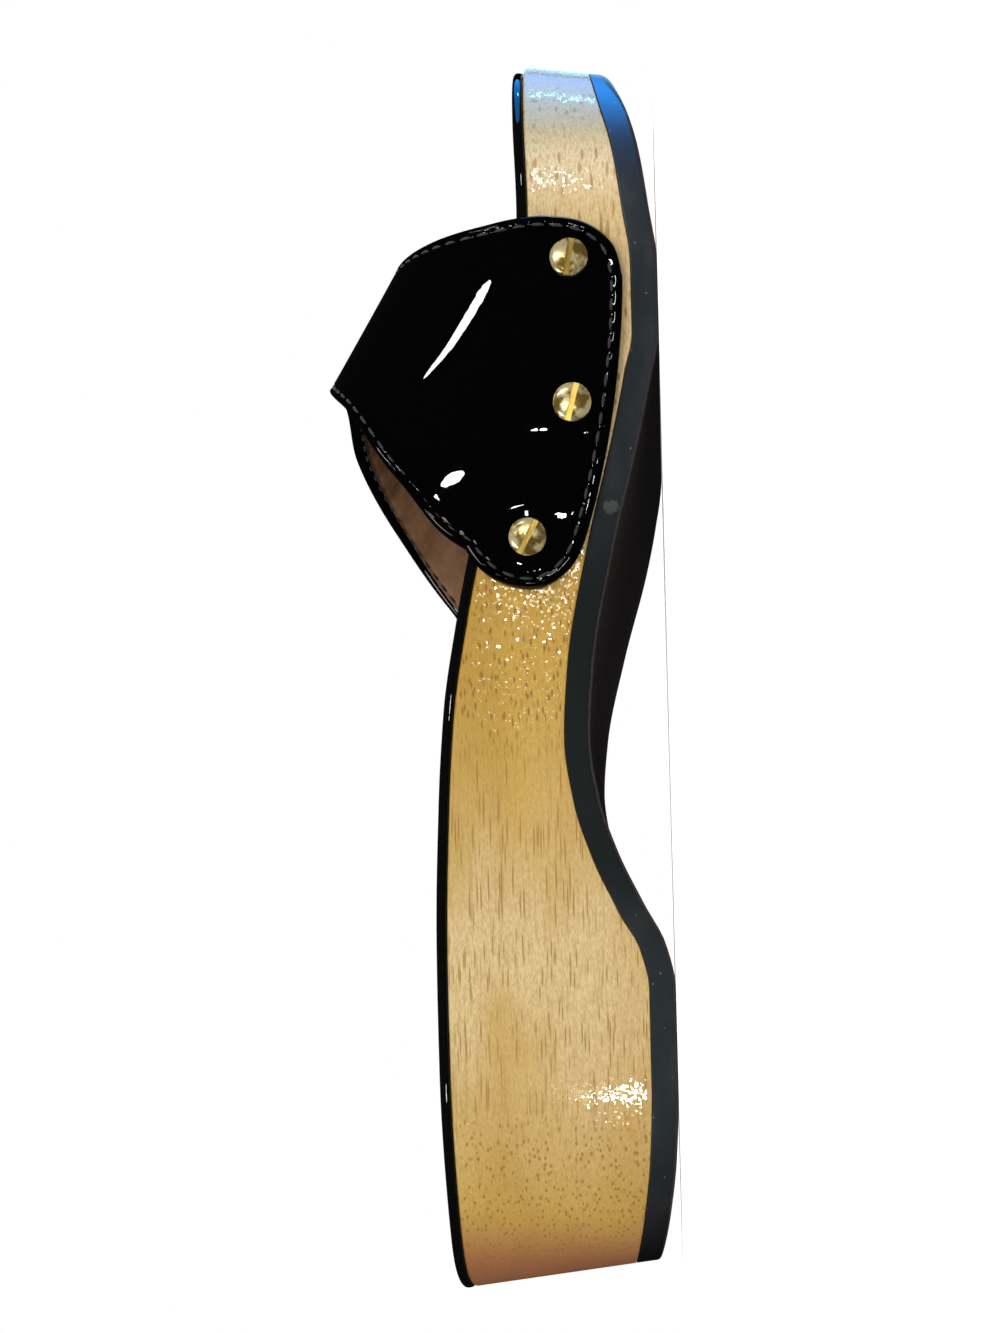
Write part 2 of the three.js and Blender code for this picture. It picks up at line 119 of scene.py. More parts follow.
# Underside along the inner edge, in shares of the heel spring, the arch height and the toe spring
treadRows = table(
    "along heel arch toe",
    (-0.5, 1, 0, 0),
    (-0.435, 0.48, 0, 0),
    (-0.37, 0.13, 0, 0),
    (-0.315, 0, 0, 0),
    (-0.242, 0, 0, 0),
    (-0.21, 0, 0.107, 0),
    (-0.179, 0, 0.373, 0),
    (-0.139, 0, 0.687, 0),
    (-0.099, 0, 0.9, 0),
    (-0.055, 0, 1, 0),
    (-0.003, 0, 0.933, 0),
    (0.0765, 0, 0.647, 0),
    (0.157, 0, 0.28, 0),
    (0.204, 0, 0.11, 0),
    (0.24, 0, 0, 0),
    (0.298, 0, 0, 0),
    (0.34, 0, 0, 0.155),
    (0.388, 0, 0, 0.35),
    (0.44, 0, 0, 0.68),
    (0.5, 0, 0, 1),
)

# Top edge of the wood, in shares of the heel height and the fore height
footRows = table(
    "along heel fore",
    (-0.5, 0.973, 0),
    (-0.405, 0.978, 0),
    (-0.305, 0.992, 0),
    (-0.204, 1, 0),
    (-0.104, 0.983, 0),
    (-0.033, 0.9, 0.09),
    (0.037, 0.7, 0.31),
    (0.0975, 0.4, 0.695),
    (0.198, 0.1, 0.98),
    (0.279, 0, 1.025),
    (0.339, 0, 0.996),
    (0.4195, 0, 1.03),
    (0.5, 0, 1.067),
)


def fade(value, start, end):
    # 0 before start, 1 after end
    t = np.clip((value - start) / (end - start), 0, 1)
    return t * t * (3 - 2 * t)


def lerp(a, b, t):
    return a + (b - a) * t


def spline(a, b, c, d, t):
    # Catmull-Rom value between b and c
    bend = 2 * a - 5 * b + 4 * c - d
    twist = 3 * b - a - 3 * c + d
    return 0.5 * (2 * b + (c - a) * t + bend * t * t + twist * t * t * t)


def heightCurve(rows, heightOf):
    # smooth curve through the rows that never overshoots them
    alongs = np.array([row["along"] for row in rows], float)
    heights = np.array([heightOf(row) for row in rows], float)
    slopes = np.diff(heights) / np.diff(alongs)
    product = slopes[:-1] * slopes[1:]
    total = np.where(product > 0, slopes[:-1] + slopes[1:], 1)
    inner = np.where(product > 0, 2 * product / total, 0)
    tangents = np.concatenate(([slopes[0]], inner, [slopes[-1]]))

    def heightAt(share):
        share = np.clip(share, alongs[0], alongs[-1])
        i = np.clip(np.searchsorted(alongs, share) - 1, 0, len(alongs) - 2)
        span = alongs[i + 1] - alongs[i]
        t = (share - alongs[i]) / span
        s = 1 - t
        ends = s * s * (1 + 2 * t) * heights[i] + t * t * (1 + 2 * s) * heights[i + 1]
        return ends + span * s * t * (s * tangents[i] - t * tangents[i + 1])

    return heightAt


treadCurve = heightCurve(treadRows, lambda row: (
    row["heel"] * sole["heelSpring"] + row["arch"] * sole["archHeight"] + row["toe"] * sole["toeSpring"]))
footCurve = heightCurve(footRows, lambda row: (
    row["heel"] * sole["heelHeight"] + row["fore"] * sole["foreHeight"]))

# The plan's points in turn: heel tip, inner side, toe tip, outer side
lastPlanRow = len(planRows) - 1
planLoop = np.array(
    [(row["innerAlong"] * sole["length"], row["inner"] * sole["ballWidth"]) for row in planRows]
    + [(row["outerAlong"] * sole["length"], row["outer"] * sole["ballWidth"]) for row in planRows[-2:0:-1]])


def planPoint(k):
    k = np.mod(k, len(planLoop))
    i = np.floor(k).astype(int)
    a, b, c, d = [planLoop[(i + step) % len(planLoop)] for step in (-1, 0, 1, 2)]
    return spline(a, b, c, d, (k - i)[..., None])


def planNormal(k):
    ahead = planPoint(k + 0.01) - planPoint(k - 0.01)
    ahead /= np.linalg.norm(ahead, axis=-1, keepdims=True)
    return np.stack((ahead[..., 1], -ahead[..., 0]), axis=-1)


def planKnot(side, s):
    # side is -1 on the inner side, 1 on the outer side; s runs from the heel tip to the toe tip
    return s if side < 0 else len(planLoop) - s


edgeSteps = np.linspace(0, lastPlanRow, 4001)
edgeTables = {
    side: (planPoint(planKnot(side, edgeSteps)), planNormal(planKnot(side, edgeSteps)))
    for side in (-1, 1)
}


def edgeAt(x, side):
    # the sole's edge at a place along the shoe: its y and its outward normal
    inner, outer = [
        [np.interp(x, places[:, 0], column) for column in (places[:, 1], normals[:, 0], normals[:, 1])]
        for places, normals in (edgeTables[-1], edgeTables[1])
    ]
    return [np.where(side < 0, a, b) for a, b in zip(inner, outer)]


def treadHeight(x, y):
    waistEdge = planRows[4]["inner"] * sole["ballWidth"]
    offMiddle = np.abs(x / sole["length"] - sole["skewMiddle"])
    reach = 1 - fade(offMiddle, sole["skewFull"], sole["skewEnd"])
    return treadCurve((x + sole["archSkew"] * (y - waistEdge) * reach) / sole["length"])


def rubberTop(x, y):
    slope = (treadHeight(x + 1, y) - treadHeight(x - 1, y)) / 2
    return treadHeight(x, y) + sole["rubberThickness"] * np.hypot(1, slope)


def woodTopEdge(x):
    return footCurve(x / sole["length"])


def woodTop(x, across):
    share = fade(x / sole["length"], sole["heelDishEnd"], sole["ballDishStart"])
    depth = lerp(sole["heelDish"], sole["ballDish"], share)
    return woodTopEdge(x) - depth * (1 - across * across) ** 2


def insoleTopEdge(x):
    return woodTopEdge(x) + sole["clearance"] + sole["insoleThickness"]


def sideShift(x, height):
    # how far the side lies inside the plan at a height, and how far forward: the sides taper, the heel's
    # foot lies further forward than its top and the toe's foot further back
    low = 1 - height / sole["heelHeight"]
    toeLow = 1 - height / (sole["foreHeight"] * footRows[-1]["fore"])
    heelward = 1 - fade(x / sole["length"], -0.5, sole["heelLeanStart"])
    toeward = fade(x / sole["length"], sole["toeLeanStart"], 0.5)
    return sole["sideTaper"] * low, sole["heelLean"] * low * heelward - sole["toeLean"] * toeLow * toeward


def layerFace(heightAt, insetAt):
    # one face of a sole layer, rows from heel to toe and columns from the inner to the outer edge
    s = np.linspace(0, lastPlanRow, lastPlanRow * sole["stepsPerSpan"] + 1)
    t = 0.5 - 0.5 * np.cos(np.linspace(0, math.pi, sole["stepsAcross"] + 1))
    inner, outer = [(planPoint(planKnot(side, s)), planNormal(planKnot(side, s))) for side in (-1, 1)]
    place, push = [
        inner[i][:, None, :] + (outer[i] - inner[i])[:, None, :] * t[None, :, None] for i in (0, 1)
    ]
    across = np.tile(2 * t - 1, (len(s), 1))
    across[[0, -1]] = 1
    x, y = place[..., 0], place[..., 1]
    z = heightAt(x, y, across)
    inward, forward = sideShift(x, z)
    inset = inward + insetAt(x)
    return np.stack((x + forward - push[..., 0] * inset, y - push[..., 1] * inset, z), axis=-1)


def insoleInset(x):
    # the insole ends a little short of the wood at the toe
    return sole["insoleToeInset"] * fade(x / sole["length"], sole["insoleToeStart"], 0.5)


def rimOf(face):
    # the edge of a face, counterclockwise from the heel tip
    return np.concatenate((face[:, 0], face[-2:0:-1, -1]))


def layerBody(name, lowerFace, rims, upperFace):
    # closed body from a lower face, the rims between and an upper face
    points = []
    faces = []

    def addPoints(places):
        start = len(points)
        points.extend(map(tuple, places))
        return list(range(start, len(points)))

    def addFace(face, isUp):
        ids = []
        for i, row in enumerate(face):
            isTip = i in (0, len(face) - 1)
            ids.append(addPoints(row[:1]) * len(row) if isTip else addPoints(row))
        for here, ahead in zip(ids, ids[1:]):
            for j in range(len(here) - 1):
                corners = (here[j], ahead[j], ahead[j + 1], here[j + 1])
                corners = tuple(dict.fromkeys(corners))
                faces.append(corners if isUp else corners[::-1])
        return [row[0] for row in ids] + [row[-1] for row in ids[-2:0:-1]]

    loops = [addFace(lowerFace, False)]
    loops += [addPoints(rim) for rim in rims]
    loops.append(addFace(upperFace, True))
    for low, high in zip(loops, loops[1:]):
        for i in range(len(low)):
            ahead = (i + 1) % len(low)
            faces.append((low[i], low[ahead], high[ahead], high[i]))
    return meshPiece(name, points, faces)


def meshPiece(name, points, faces):
    mesh = bpy.data.meshes.new(name)
    mesh.from_pydata((np.array(points) + placeOnFrame) * mm, [], faces)
    mesh.validate()
    mesh.shade_smooth()
    piece = bpy.data.objects.new(name, mesh)
    bpy.context.scene.collection.objects.link(piece)
    return piece


def finishPiece(piece, nodes, materials):
    if not piece.data.materials:
        for material in materials:
            piece.data.materials.append(material)
    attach(piece, "root")
    if nodes:
        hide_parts(*nodes)
    print(piece.name, "done,", len(piece.data.polygons), "faces")


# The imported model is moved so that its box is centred: the same move for every piece here
insoleRim = rimOf(layerFace(
    lambda x, y, across: woodTop(x, across) + sole["clearance"] + sole["insoleThickness"] - 0.5,
    insoleInset))
insoleLow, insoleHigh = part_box("insole")
placeOnFrame = np.array([
    (insoleLow.x + insoleHigh.x) / 2 / mm - (insoleRim[:, 0].min() + insoleRim[:, 0].max()) / 2,
    (insoleLow.y + insoleHigh.y) / 2 / mm - (insoleRim[:, 1].min() + insoleRim[:, 1].max()) / 2,
    0,
])
print("frame offset", placeOnFrame)


# Camera: the photograph's viewpoint beside the inner side, turned so that the toe points up
camera = {
    "focalPixels": 1543,
    "imageHeight": 1333,
    "sensor": 36,
    "place": (-14.15, -323, 1.0),
    "roll": 1.2,
    "squareOnPixel": (510, 740),
    "shoeMiddlePixel": (346, 665.5),
}


def makeCamera(settings):
    roll = math.radians(settings["roll"])
    ahead = Vector((0, 1, 0))
    right = Vector((-math.sin(roll), 0, -math.cos(roll)))
    up = right.cross(ahead)
    across, down = [b - a for a, b in zip(settings["squareOnPixel"], settings["shoeMiddlePixel"])]
    aim = (ahead * settings["focalPixels"] + right * across - up * down).normalized()
    right = aim.cross(up).normalized()
    up = right.cross(aim)
    data = bpy.data.cameras.new("camera")
    data.sensor_width = settings["sensor"]
    data.lens = settings["focalPixels"] / settings["imageHeight"] * settings["sensor"]
    data.clip_start = 0.0005
    holder = bpy.data.objects.new("camera", data)
    turn = Matrix((right, up, -aim)).transposed()
    place = (Vector(settings["place"]) + Vector(placeOnFrame)) * mm
    holder.matrix_world = Matrix.Translation(place) @ turn.to_4x4()
    bpy.context.scene.collection.objects.link(holder)
    bpy.context.scene.camera = holder


def setInput(tree, socket, value):
    # another node's socket is linked, anything else becomes the socket's own value
    if isinstance(value, bpy.types.NodeSocket):
        tree.links.new(value, socket)
    else:
        socket.default_value = value


def addNode(tree, kind, settings=(), **inputs):
    # inputs are named by their sockets, with _ for a space
    node = tree.nodes.new(kind)
    for key, value in dict(settings).items():
        setattr(node, key, value)
    for key, value in inputs.items():
        setInput(tree, node.inputs[key.replace("_", " ")], value)
    return node


makeCamera(camera)
print("camera done")

# Floor and surroundings: everything pale, and dark for reflections, so that patent stays deep black
room = {
    "floorRadius": 420,
    "floorColour": (0.8, 0.8, 0.8, 1),
    "floorGlow": 0.3,
    "backdrop": (1, 1, 1, 1),
    "backdropLight": 1.0,
    "fillColour": (0.95, 0.97, 1, 1),
    "fillLight": 0.55,
    "mirroredLight": 0.006,
}


def makeRoom(settings):
    mesh = bpy.data.meshes.new("floor")
    radius = settings["floorRadius"] * mm
    ring = [(radius * math.cos(a), radius * math.sin(a), 0) for a in np.linspace(0, 2 * math.pi, 97)[:-1]]
    mesh.from_pydata(ring, [], [tuple(range(len(ring)))])
    floor = bpy.data.objects.new("floor", mesh)
    bpy.context.scene.collection.objects.link(floor)
    material = bpy.data.materials.new("floorPaper")
    material.use_nodes = True
    shader = material.node_tree.nodes["Principled BSDF"]
    shader.inputs["Base Color"].default_value = settings["floorColour"]
    shader.inputs["Roughness"].default_value = 0.9
    shader.inputs["Specular IOR Level"].default_value = 0.1
    shader.inputs["Emission Color"].default_value = (1, 1, 1, 1)
    shader.inputs["Emission Strength"].default_value = settings["floorGlow"]
    mesh.materials.append(material)
    floor.visible_glossy = False

    world = bpy.data.worlds.new("studio")
    bpy.context.scene.world = world
    world.use_nodes = True
    tree = world.node_tree
    tree.nodes.clear()
    path = addNode(tree, "ShaderNodeLightPath")
    seen, fill, mirrored = [
        addNode(tree, "ShaderNodeBackground", Color=settings[colour], Strength=settings[light]).outputs[0]
        for colour, light in (("backdrop", "backdropLight"), ("fillColour", "fillLight"),
                              ("fillColour", "mirroredLight"))
    ]
    unseen = addNode(tree, "ShaderNodeMixShader", Fac=path.outputs["Is Glossy Ray"])
    tree.links.new(fill, unseen.inputs[1])
    tree.links.new(mirrored, unseen.inputs[2])
    both = addNode(tree, "ShaderNodeMixShader", Fac=path.outputs["Is Camera Ray"])
    tree.links.new(unseen.outputs[0], both.inputs[1])
    tree.links.new(seen, both.inputs[2])
    addNode(tree, "ShaderNodeOutputWorld", Surface=both.outputs[0])


makeRoom(room)
bpy.context.scene.view_settings.view_transform = "Standard"

# Lamps. One without pieces is soft: it lights all surfaces and isn't mirrored in them. The others are ovals
# that show only as gloss on their pieces, as a streak from one end to the other. Places and widths are in
# millimetres, power in watts.
shinyPieces = ("strap", "stitchesOutside", "screwHeads", "woodSole", "rubberSole")
varnished = ("woodSole", "insoleBoard")
lamps = table(
    "name start end width power colour pieces",
    ("softTop", (300, -50, 900), (300, -650, 900), 700, 6.5, (1, 1, 1), ()),
    ("softSide", (300, -1100, 420), (-300, -1100, 420), 500, 7, (1, 0.985, 0.96), ()),
    ("softBack", (100, 800, 700), (-500, 800, 700), 700, 4, (1, 1, 1), ()),
    ("streak", (550, -1098, 354), (450, -851, 842), 60, 2.7, (1, 0.99, 0.93), shinyPieces),
    ("oval", (-148, -1212, 245), (-119, -1171, 420), 30, 1.1, (1, 1, 0.93), ("strap", "screwHeads")),
    ("dotMiddle", (-93, -1237, 30), (-85, -1237, 30), 10, 0.018, (1, 1, 1), ("strap",)),
    ("dotLower", (-310, -1197, 19), (-284, -1197, 19), 28, 0.12, (1, 1, 1), ("strap",)),
    ("rimBack", (-700, -750, 600), (-500, -300, 950), 300, 2.5, (1, 0.95, 0.85), shinyPieces),
    ("brassGlow", (-330, -1205, 45), (130, -1235, 45), 320, 0.6, (1, 0.95, 0.8), ("screwHeads",)),
    ("glintToe", (863, -963, 30), (923, -905, 30), 82, 0.6, (1, 1, 1), varnished),
    ("glintWaist", (-535, -1106, 48), (-435, -1148, 48), 108, 0.5, (1, 0.92, 0.76), ("woodSole",)),
    ("glintEdge", (-497, -1122, 48), (-473, -1132, 48), 24, 0.1, (1, 1, 1), ("strap",)),
    ("glintHeel", (-400, -1188, 5), (-302, -1212, 5), 74, 1.2, (1, 1, 0.97), varnished),
    ("coolGlint", (1310, 55, 0), (1310, -55, 0), 110, 1.3, (0.15, 0.75, 1), varnished),
    ("coolBack", (980, 760, 100), (350, 1180, 100), 900, 7, (0.25, 0.62, 1), ("woodSole", "rubberSole")),
    ("coolToe", (1040, 620, 100), (1180, -500, 100), 900, 20, (0.02, 0.3, 1), varnished + ("rubberSole",)),
)
lampTarget = (20, 0, 25)


def makeLamp(settings):
    start, end = [Vector(settings[key]) * mm for key in ("start", "end")]
    isMirrored = bool(settings["pieces"])
    data = bpy.data.lights.new(settings["name"], "AREA")
    data.shape = "ELLIPSE" if isMirrored else "RECTANGLE"
    data.size = (end - start).length
    data.size_y = settings["width"] * mm
    data.energy = settings["power"]
    data.color = settings["colour"]
    lamp = bpy.data.objects.new(settings["name"], data)
    middle = (start + end) / 2
    back = (middle - Vector(lampTarget) * mm).normalized()
    upward = back.cross(end - start).normalized()
    along = upward.cross(back)
    turn = Matrix((along, upward, back)).transposed()
    lamp.matrix_world = Matrix.Translation(middle) @ turn.to_4x4()
    lamp.visible_camera = False
    lamp.visible_glossy = isMirrored
    lamp.visible_diffuse = not isMirrored
    bpy.context.scene.collection.objects.link(lamp)


for lampSettings in lamps:
    makeLamp(lampSettings)
print("room and lamps done")


def newMaterial(name, **inputs):
    material = bpy.data.materials.new(name)
    material.use_nodes = True
    tree = material.node_tree
    shader = tree.nodes["Principled BSDF"]
    for key, value in inputs.items():
        shader.inputs[key.replace("_", " ")].default_value = value
    place = addNode(tree, "ShaderNodeTexCoord").outputs["Object"]
    return material, tree, shader, place


def stretched(tree, place, sizes):
    # coordinates counted in cells of these sizes, in millimetres
    scale = [1 / (size * mm) for size in sizes]
    return addNode(tree, "ShaderNodeMapping", Vector=place, Scale=scale).outputs[0]


def noise(tree, place, sizes, detail=2.0, roughness=0.5):
    vector = stretched(tree, place, sizes)
    node = addNode(tree, "ShaderNodeTexNoise", Vector=vector, Scale=1.0, Detail=detail, Roughness=roughness)
    return node.outputs[0]


def ranged(tree, value, low, high, lowTo=0.0, highTo=1.0):
    node = addNode(tree, "ShaderNodeMapRange", {"interpolation_type": "SMOOTHSTEP"}, Value=value,
                   From_Min=low, From_Max=high, To_Min=lowTo, To_Max=highTo)
    return node.outputs[0]


def fadeAlong(tree, along, ends, lowTo=0.0, highTo=1.0):
    # changes between two places along the shoe, in millimetres
    return ranged(tree, along, ends[0] * mm, ends[1] * mm, lowTo, highTo)


def calculated(tree, operation, *values):
    node = addNode(tree, "ShaderNodeMath", {"operation": operation})
    for socket, value in zip(node.inputs, values):
        setInput(tree, socket, value)
    return node.outputs[0]


def vectorMath(tree, operation, *values):
    node = addNode(tree, "ShaderNodeVectorMath", {"operation": operation})
    for socket, value in zip(node.inputs, values):
        setInput(tree, socket, value)
    return node.outputs["Value" if operation in ("LENGTH", "DISTANCE") else "Vector"]


def mixedValue(tree, factor, a, b):
    node = addNode(tree, "ShaderNodeMix", Factor=factor)
    setInput(tree, node.inputs[2], a)
    setInput(tree, node.inputs[3], b)
    return node.outputs[0]


def mixed(tree, factor, a, b):
    node = addNode(tree, "ShaderNodeMix", {"data_type": "RGBA"})
    for i, value in ((0, factor), (6, a), (7, b)):
        setInput(tree, node.inputs[i], value)
    return node.outputs[2]


def cellsOf(tree, place, sizes):
    return addNode(tree, "ShaderNodeTexVoronoi", Vector=stretched(tree, place, sizes), Scale=1.0).outputs


def chancesOf(tree, cells):
    # up to three even random values of each cell
    return addNode(tree, "ShaderNodeSeparateColor", Color=cells["Color"]).outputs


def bumped(tree, height, depth, under=None):
    # depth in millimetres for heights from 0 to 1
    node = addNode(tree, "ShaderNodeBump", Height=height, Distance=depth * mm, Strength=1.0)
    if under is not None:
        tree.links.new(under, node.inputs["Normal"])
    return node.outputs[0]


# Varnished pale wood: its colours, then places along the shoe and sizes in millimetres. Some colours are
# painted light and shade at the toe and at the heel's end.
woodFinish = {
    "golden": (0.415, 0.255, 0.043, 1),
    "deep": (0.36, 0.214, 0.034, 1),
    "pale": (0.50, 0.385, 0.195, 1),
    "streak": (0.28, 0.155, 0.035, 1),
    # The next three colours are painted light and shade: paler wood towards the toe, darker at its very
    # tip, red-brown at the heel's end
    "toePaintedLight": (0.60, 0.50, 0.33, 1),
    "toeShade": (0.35, 0.33, 0.175, 1),
    "heelPaintedShade": (0.235, 0.066, 0.042, 1),
    "pore": (0.19, 0.093, 0.011, 1),
    "toneSize": (120, 16, 16),
    "patchSize": (40, 14, 14),
    "streakSize": (30, 0.5, 0.5),
    "speckSize": (1.1, 0.35, 0.35),
    "wanderSize": (40, 14, 14),
    "wander": 0.8,
    "poreRelief": 0.03,
    "paleMiddle": -58,
    "paleReach": 62,
    "flapPaleStart": (18, 30),
    "toePaintedLightStart": (70, 100),
    "toeShadeStart": (93, 106),
    "heelPaintedShadeEnd": (-117, -100),
}

# Long fine pores: from where to where along the shoe each kind sets in, the size of its cells, how many of
# them stay empty and how dark it is. The side cuts the pores crosswise at the heel and askew at the waist,
# and follows them elsewhere.
poreRows = table(
    "startsIn cell rarity strength",
    ((-140, -130), (1.5, 0.85, 0.85), 0.1, 0.75),
    ((-90, -78), (13, 0.55, 0.55), 0.2, 0.66),
    ((-22, -6), (3.2, 0.78, 0.78), 0.0, 0.88),
    ((64, 74), (14, 1.1, 1.1), 0.4, 0.6),
)

# The varnish is thin, and dried in tiny facets, each turned a little its own way
varnishFinish = {
    "facetSize": (0.42, 0.42, 0.42),
    "heelTilt": 0.04,
    "middleTilt": 0.08,
    "toeTilt": 0.068,
    "heelTiltEnd": (-75, -60),
    "toeTiltStart": (60, 80),
    "thin": 0.05,
    "toeThickness": 0.5,
    "toeThickStart": (90, 102),
    "glossy": 0.03,
    "satin": 0.3,
}

# Where the varnish pooled more facets are glossy: the pool's middle and how far it reaches each way
poolRows = table(
    "x z reachX reachZ",
    (91.5, 20.5, 13, 11),
    (18, 12, 18, 44),
    (-79.7, 7, 8, 13),
)


def wandering(tree, place, settings):
    # coordinates whose lengthwise lines waver like the wood's grain
    wander = addNode(tree, "ShaderNodeTexNoise", Vector=stretched(tree, place, settings["wanderSize"]),
                     Scale=1.0, Detail=2.0)
    reach = settings["wander"] * mm
    aside = vectorMath(tree, "MULTIPLY", wander.outputs["Color"], (0, reach, reach))
    return vectorMath(tree, "ADD", place, aside)


def poresOf(tree, grain, along):
    # one fine dark dash in some of the cells
    pores = 0.0
    for row in poreRows:
        cells = cellsOf(tree, grain, row["cell"])
        isFull = ranged(tree, chancesOf(tree, cells)[0], row["rarity"], row["rarity"] + 0.2)
        dash = calculated(tree, "MULTIPLY", ranged(tree, cells["Distance"], 0.18, 0.4, 1.0, 0.0), isFull)
        shade = calculated(tree, "MULTIPLY", dash, row["strength"])
        pores = mixedValue(tree, fadeAlong(tree, along, row["startsIn"]), pores, shade)
    return pores


def woodColour(tree, grain, along, pores, settings):
    tone = ranged(tree, noise(tree, grain, settings["toneSize"], 3.0), 0.35, 0.65)
    colour = mixed(tree, tone, settings["deep"], settings["golden"])
    offPale = calculated(tree, "ABSOLUTE", calculated(
        tree, "SUBTRACT", along, settings["paleMiddle"] * mm))
    patchy = noise(tree, grain, settings["patchSize"], 2.0)
    paleness = calculated(tree, "MULTIPLY", fadeAlong(tree, offPale, (0, settings["paleReach"]), 1, 0),
                          ranged(tree, patchy, 0.25, 0.6, 0.35, 1.0))
    colour = mixed(tree, paleness, colour, settings["pale"])
    # painted light: the wood turns paler towards the toe, and the same pale colour is mixed in at about
    # half strength from the flap's front on
    toeward = calculated(tree, "MAXIMUM", fadeAlong(tree, along, settings["toePaintedLightStart"]),
                         fadeAlong(tree, along, settings["flapPaleStart"], 0.0, 0.55))
    colour = mixed(tree, toeward, colour, settings["toePaintedLight"])
    # painted shade at the toe's very end
    colour = mixed(tree, fadeAlong(tree, along, settings["toeShadeStart"]), colour, settings["toeShade"])
    # painted shade with a reddish painted reflection at the heel's end
    paintedShadeShare = fadeAlong(tree, along, settings["heelPaintedShadeEnd"], 0.9, 0.0)
    colour = mixed(tree, paintedShadeShare, colour, settings["heelPaintedShade"])
    streaks = ranged(tree, noise(tree, grain, settings["streakSize"], 3.0, 0.6), 0.5, 0.72, 0.0, 0.45)
    colour = mixed(tree, streaks, colour, settings["streak"])
    colour = mixed(tree, pores, colour, settings["pore"])
    specks = ranged(tree, noise(tree, grain, settings["speckSize"], 2.0, 0.7), 0.35, 0.7, 0.0, 0.45)
    return mixed(tree, specks, colour, settings["streak"])


def addVarnish(tree, shader, place, along, settings):
    facets = cellsOf(tree, place, settings["facetSize"])
    chances = chancesOf(tree, facets)
    pooled = 0.0
    for pool in poolRows:
        reachX, reachZ = pool["reachX"], pool["reachZ"]
        inPool = addNode(tree, "ShaderNodeMapping", Vector=place,
                         Location=(-pool["x"] / reachX, 0, -pool["z"] / reachZ),
                         Scale=(1 / (reachX * mm), 0, 1 / (reachZ * mm)))
        away = vectorMath(tree, "LENGTH", inPool.outputs[0])
        pooled = calculated(tree, "MAXIMUM", ranged(tree, away, 0.2, 1.0, 1.0, 0.0), pooled)
    isGlossy = ranged(tree, calculated(tree, "ADD", pooled, chances[0]), 0.95, 1.05)
    thickness = calculated(tree, "ADD", settings["thin"], calculated(
        tree, "MULTIPLY", isGlossy, ranged(tree, chances[1], 0.0, 1.0, 0.25, 1.0)))
    toeEnd = fadeAlong(tree, along, settings["toeThickStart"])
    thickness = mixedValue(tree, toeEnd, thickness, settings["toeThickness"])
    tree.links.new(thickness, shader.inputs["Coat Weight"])
    toeGloss = ranged(tree, chances[0], 0.5, 0.6, settings["satin"], settings["glossy"])
    tree.links.new(mixedValue(tree, toeEnd, settings["glossy"], toeGloss), shader.inputs["Coat Roughness"])
    tilt = mixedValue(tree, fadeAlong(tree, along, settings["heelTiltEnd"]),
                      settings["heelTilt"], settings["middleTilt"])
    tilt = mixedValue(tree, fadeAlong(tree, along, settings["toeTiltStart"]), tilt, settings["toeTilt"])
    turned = vectorMath(tree, "SUBTRACT", facets["Color"], (0.5, 0.5, 0.5))
    facing = vectorMath(tree, "ADD", vectorMath(tree, "MULTIPLY", turned, tilt),
                        tree.nodes["Texture Coordinate"].outputs["Normal"])
    tree.links.new(vectorMath(tree, "NORMALIZE", facing), shader.inputs["Coat Normal"])


def woodMaterial(settings):
    material, tree, shader, place = newMaterial(
        "varnishedWood", Roughness=0.5, Specular_IOR_Level=0.15, Coat_IOR=1.5)
    along = addNode(tree, "ShaderNodeSeparateXYZ", Vector=place).outputs["X"]
    grain = wandering(tree, place, settings)
    pores = poresOf(tree, grain, along)
    tree.links.new(woodColour(tree, grain, along, pores, settings), shader.inputs["Base Color"])
    tree.links.new(bumped(tree, pores, -settings["poreRelief"]), shader.inputs["Normal"])
    addVarnish(tree, shader, place, along, varnishFinish)
    return material


# Rubber: dull slate where the edge was buffed, with a little dust, and darker in the arch and at the heel's
# end as painted shade
rubberFinish = {
    "buffed": (0.0145, 0.019, 0.022, 1),
    "worn": (0.023, 0.028, 0.031, 1),
    "tread": (0.038, 0.030, 0.030, 1),
    # painted shade in the arch
    "arch": (0.008, 0.0105, 0.0105, 1),
    "dust": (0.15, 0.15, 0.145, 1),
    "scuff": (0.07, 0.073, 0.07, 1),
    # painted shade at the heel's end
    "heelEndPaintedShade": (0.005, 0.004, 0.0045, 1),
    "scuffPlace": (29.7, -39.1, 9.7),
    "scuffReach": (2.3, 2.7),
    "scuffRagged": 2.4,
    "archShadeStart": (-60, -35),
    "archShadeEnd": (12, 35),
    "heelEndPaintedShadeReach": (-118, -80),
    "toeGlossStart": (60, 100),
    "patchSize": (14, 8, 8),
    "dustSize": (3.2, 3.2, 3.2),
    "raggedSize": (0.9, 0.9, 0.9),
    "treadRaggedSize": (1.6, 1.6, 1.6),
    "grainSize": (0.5, 0.5, 0.5),
    "grainRelief": 0.02,
}


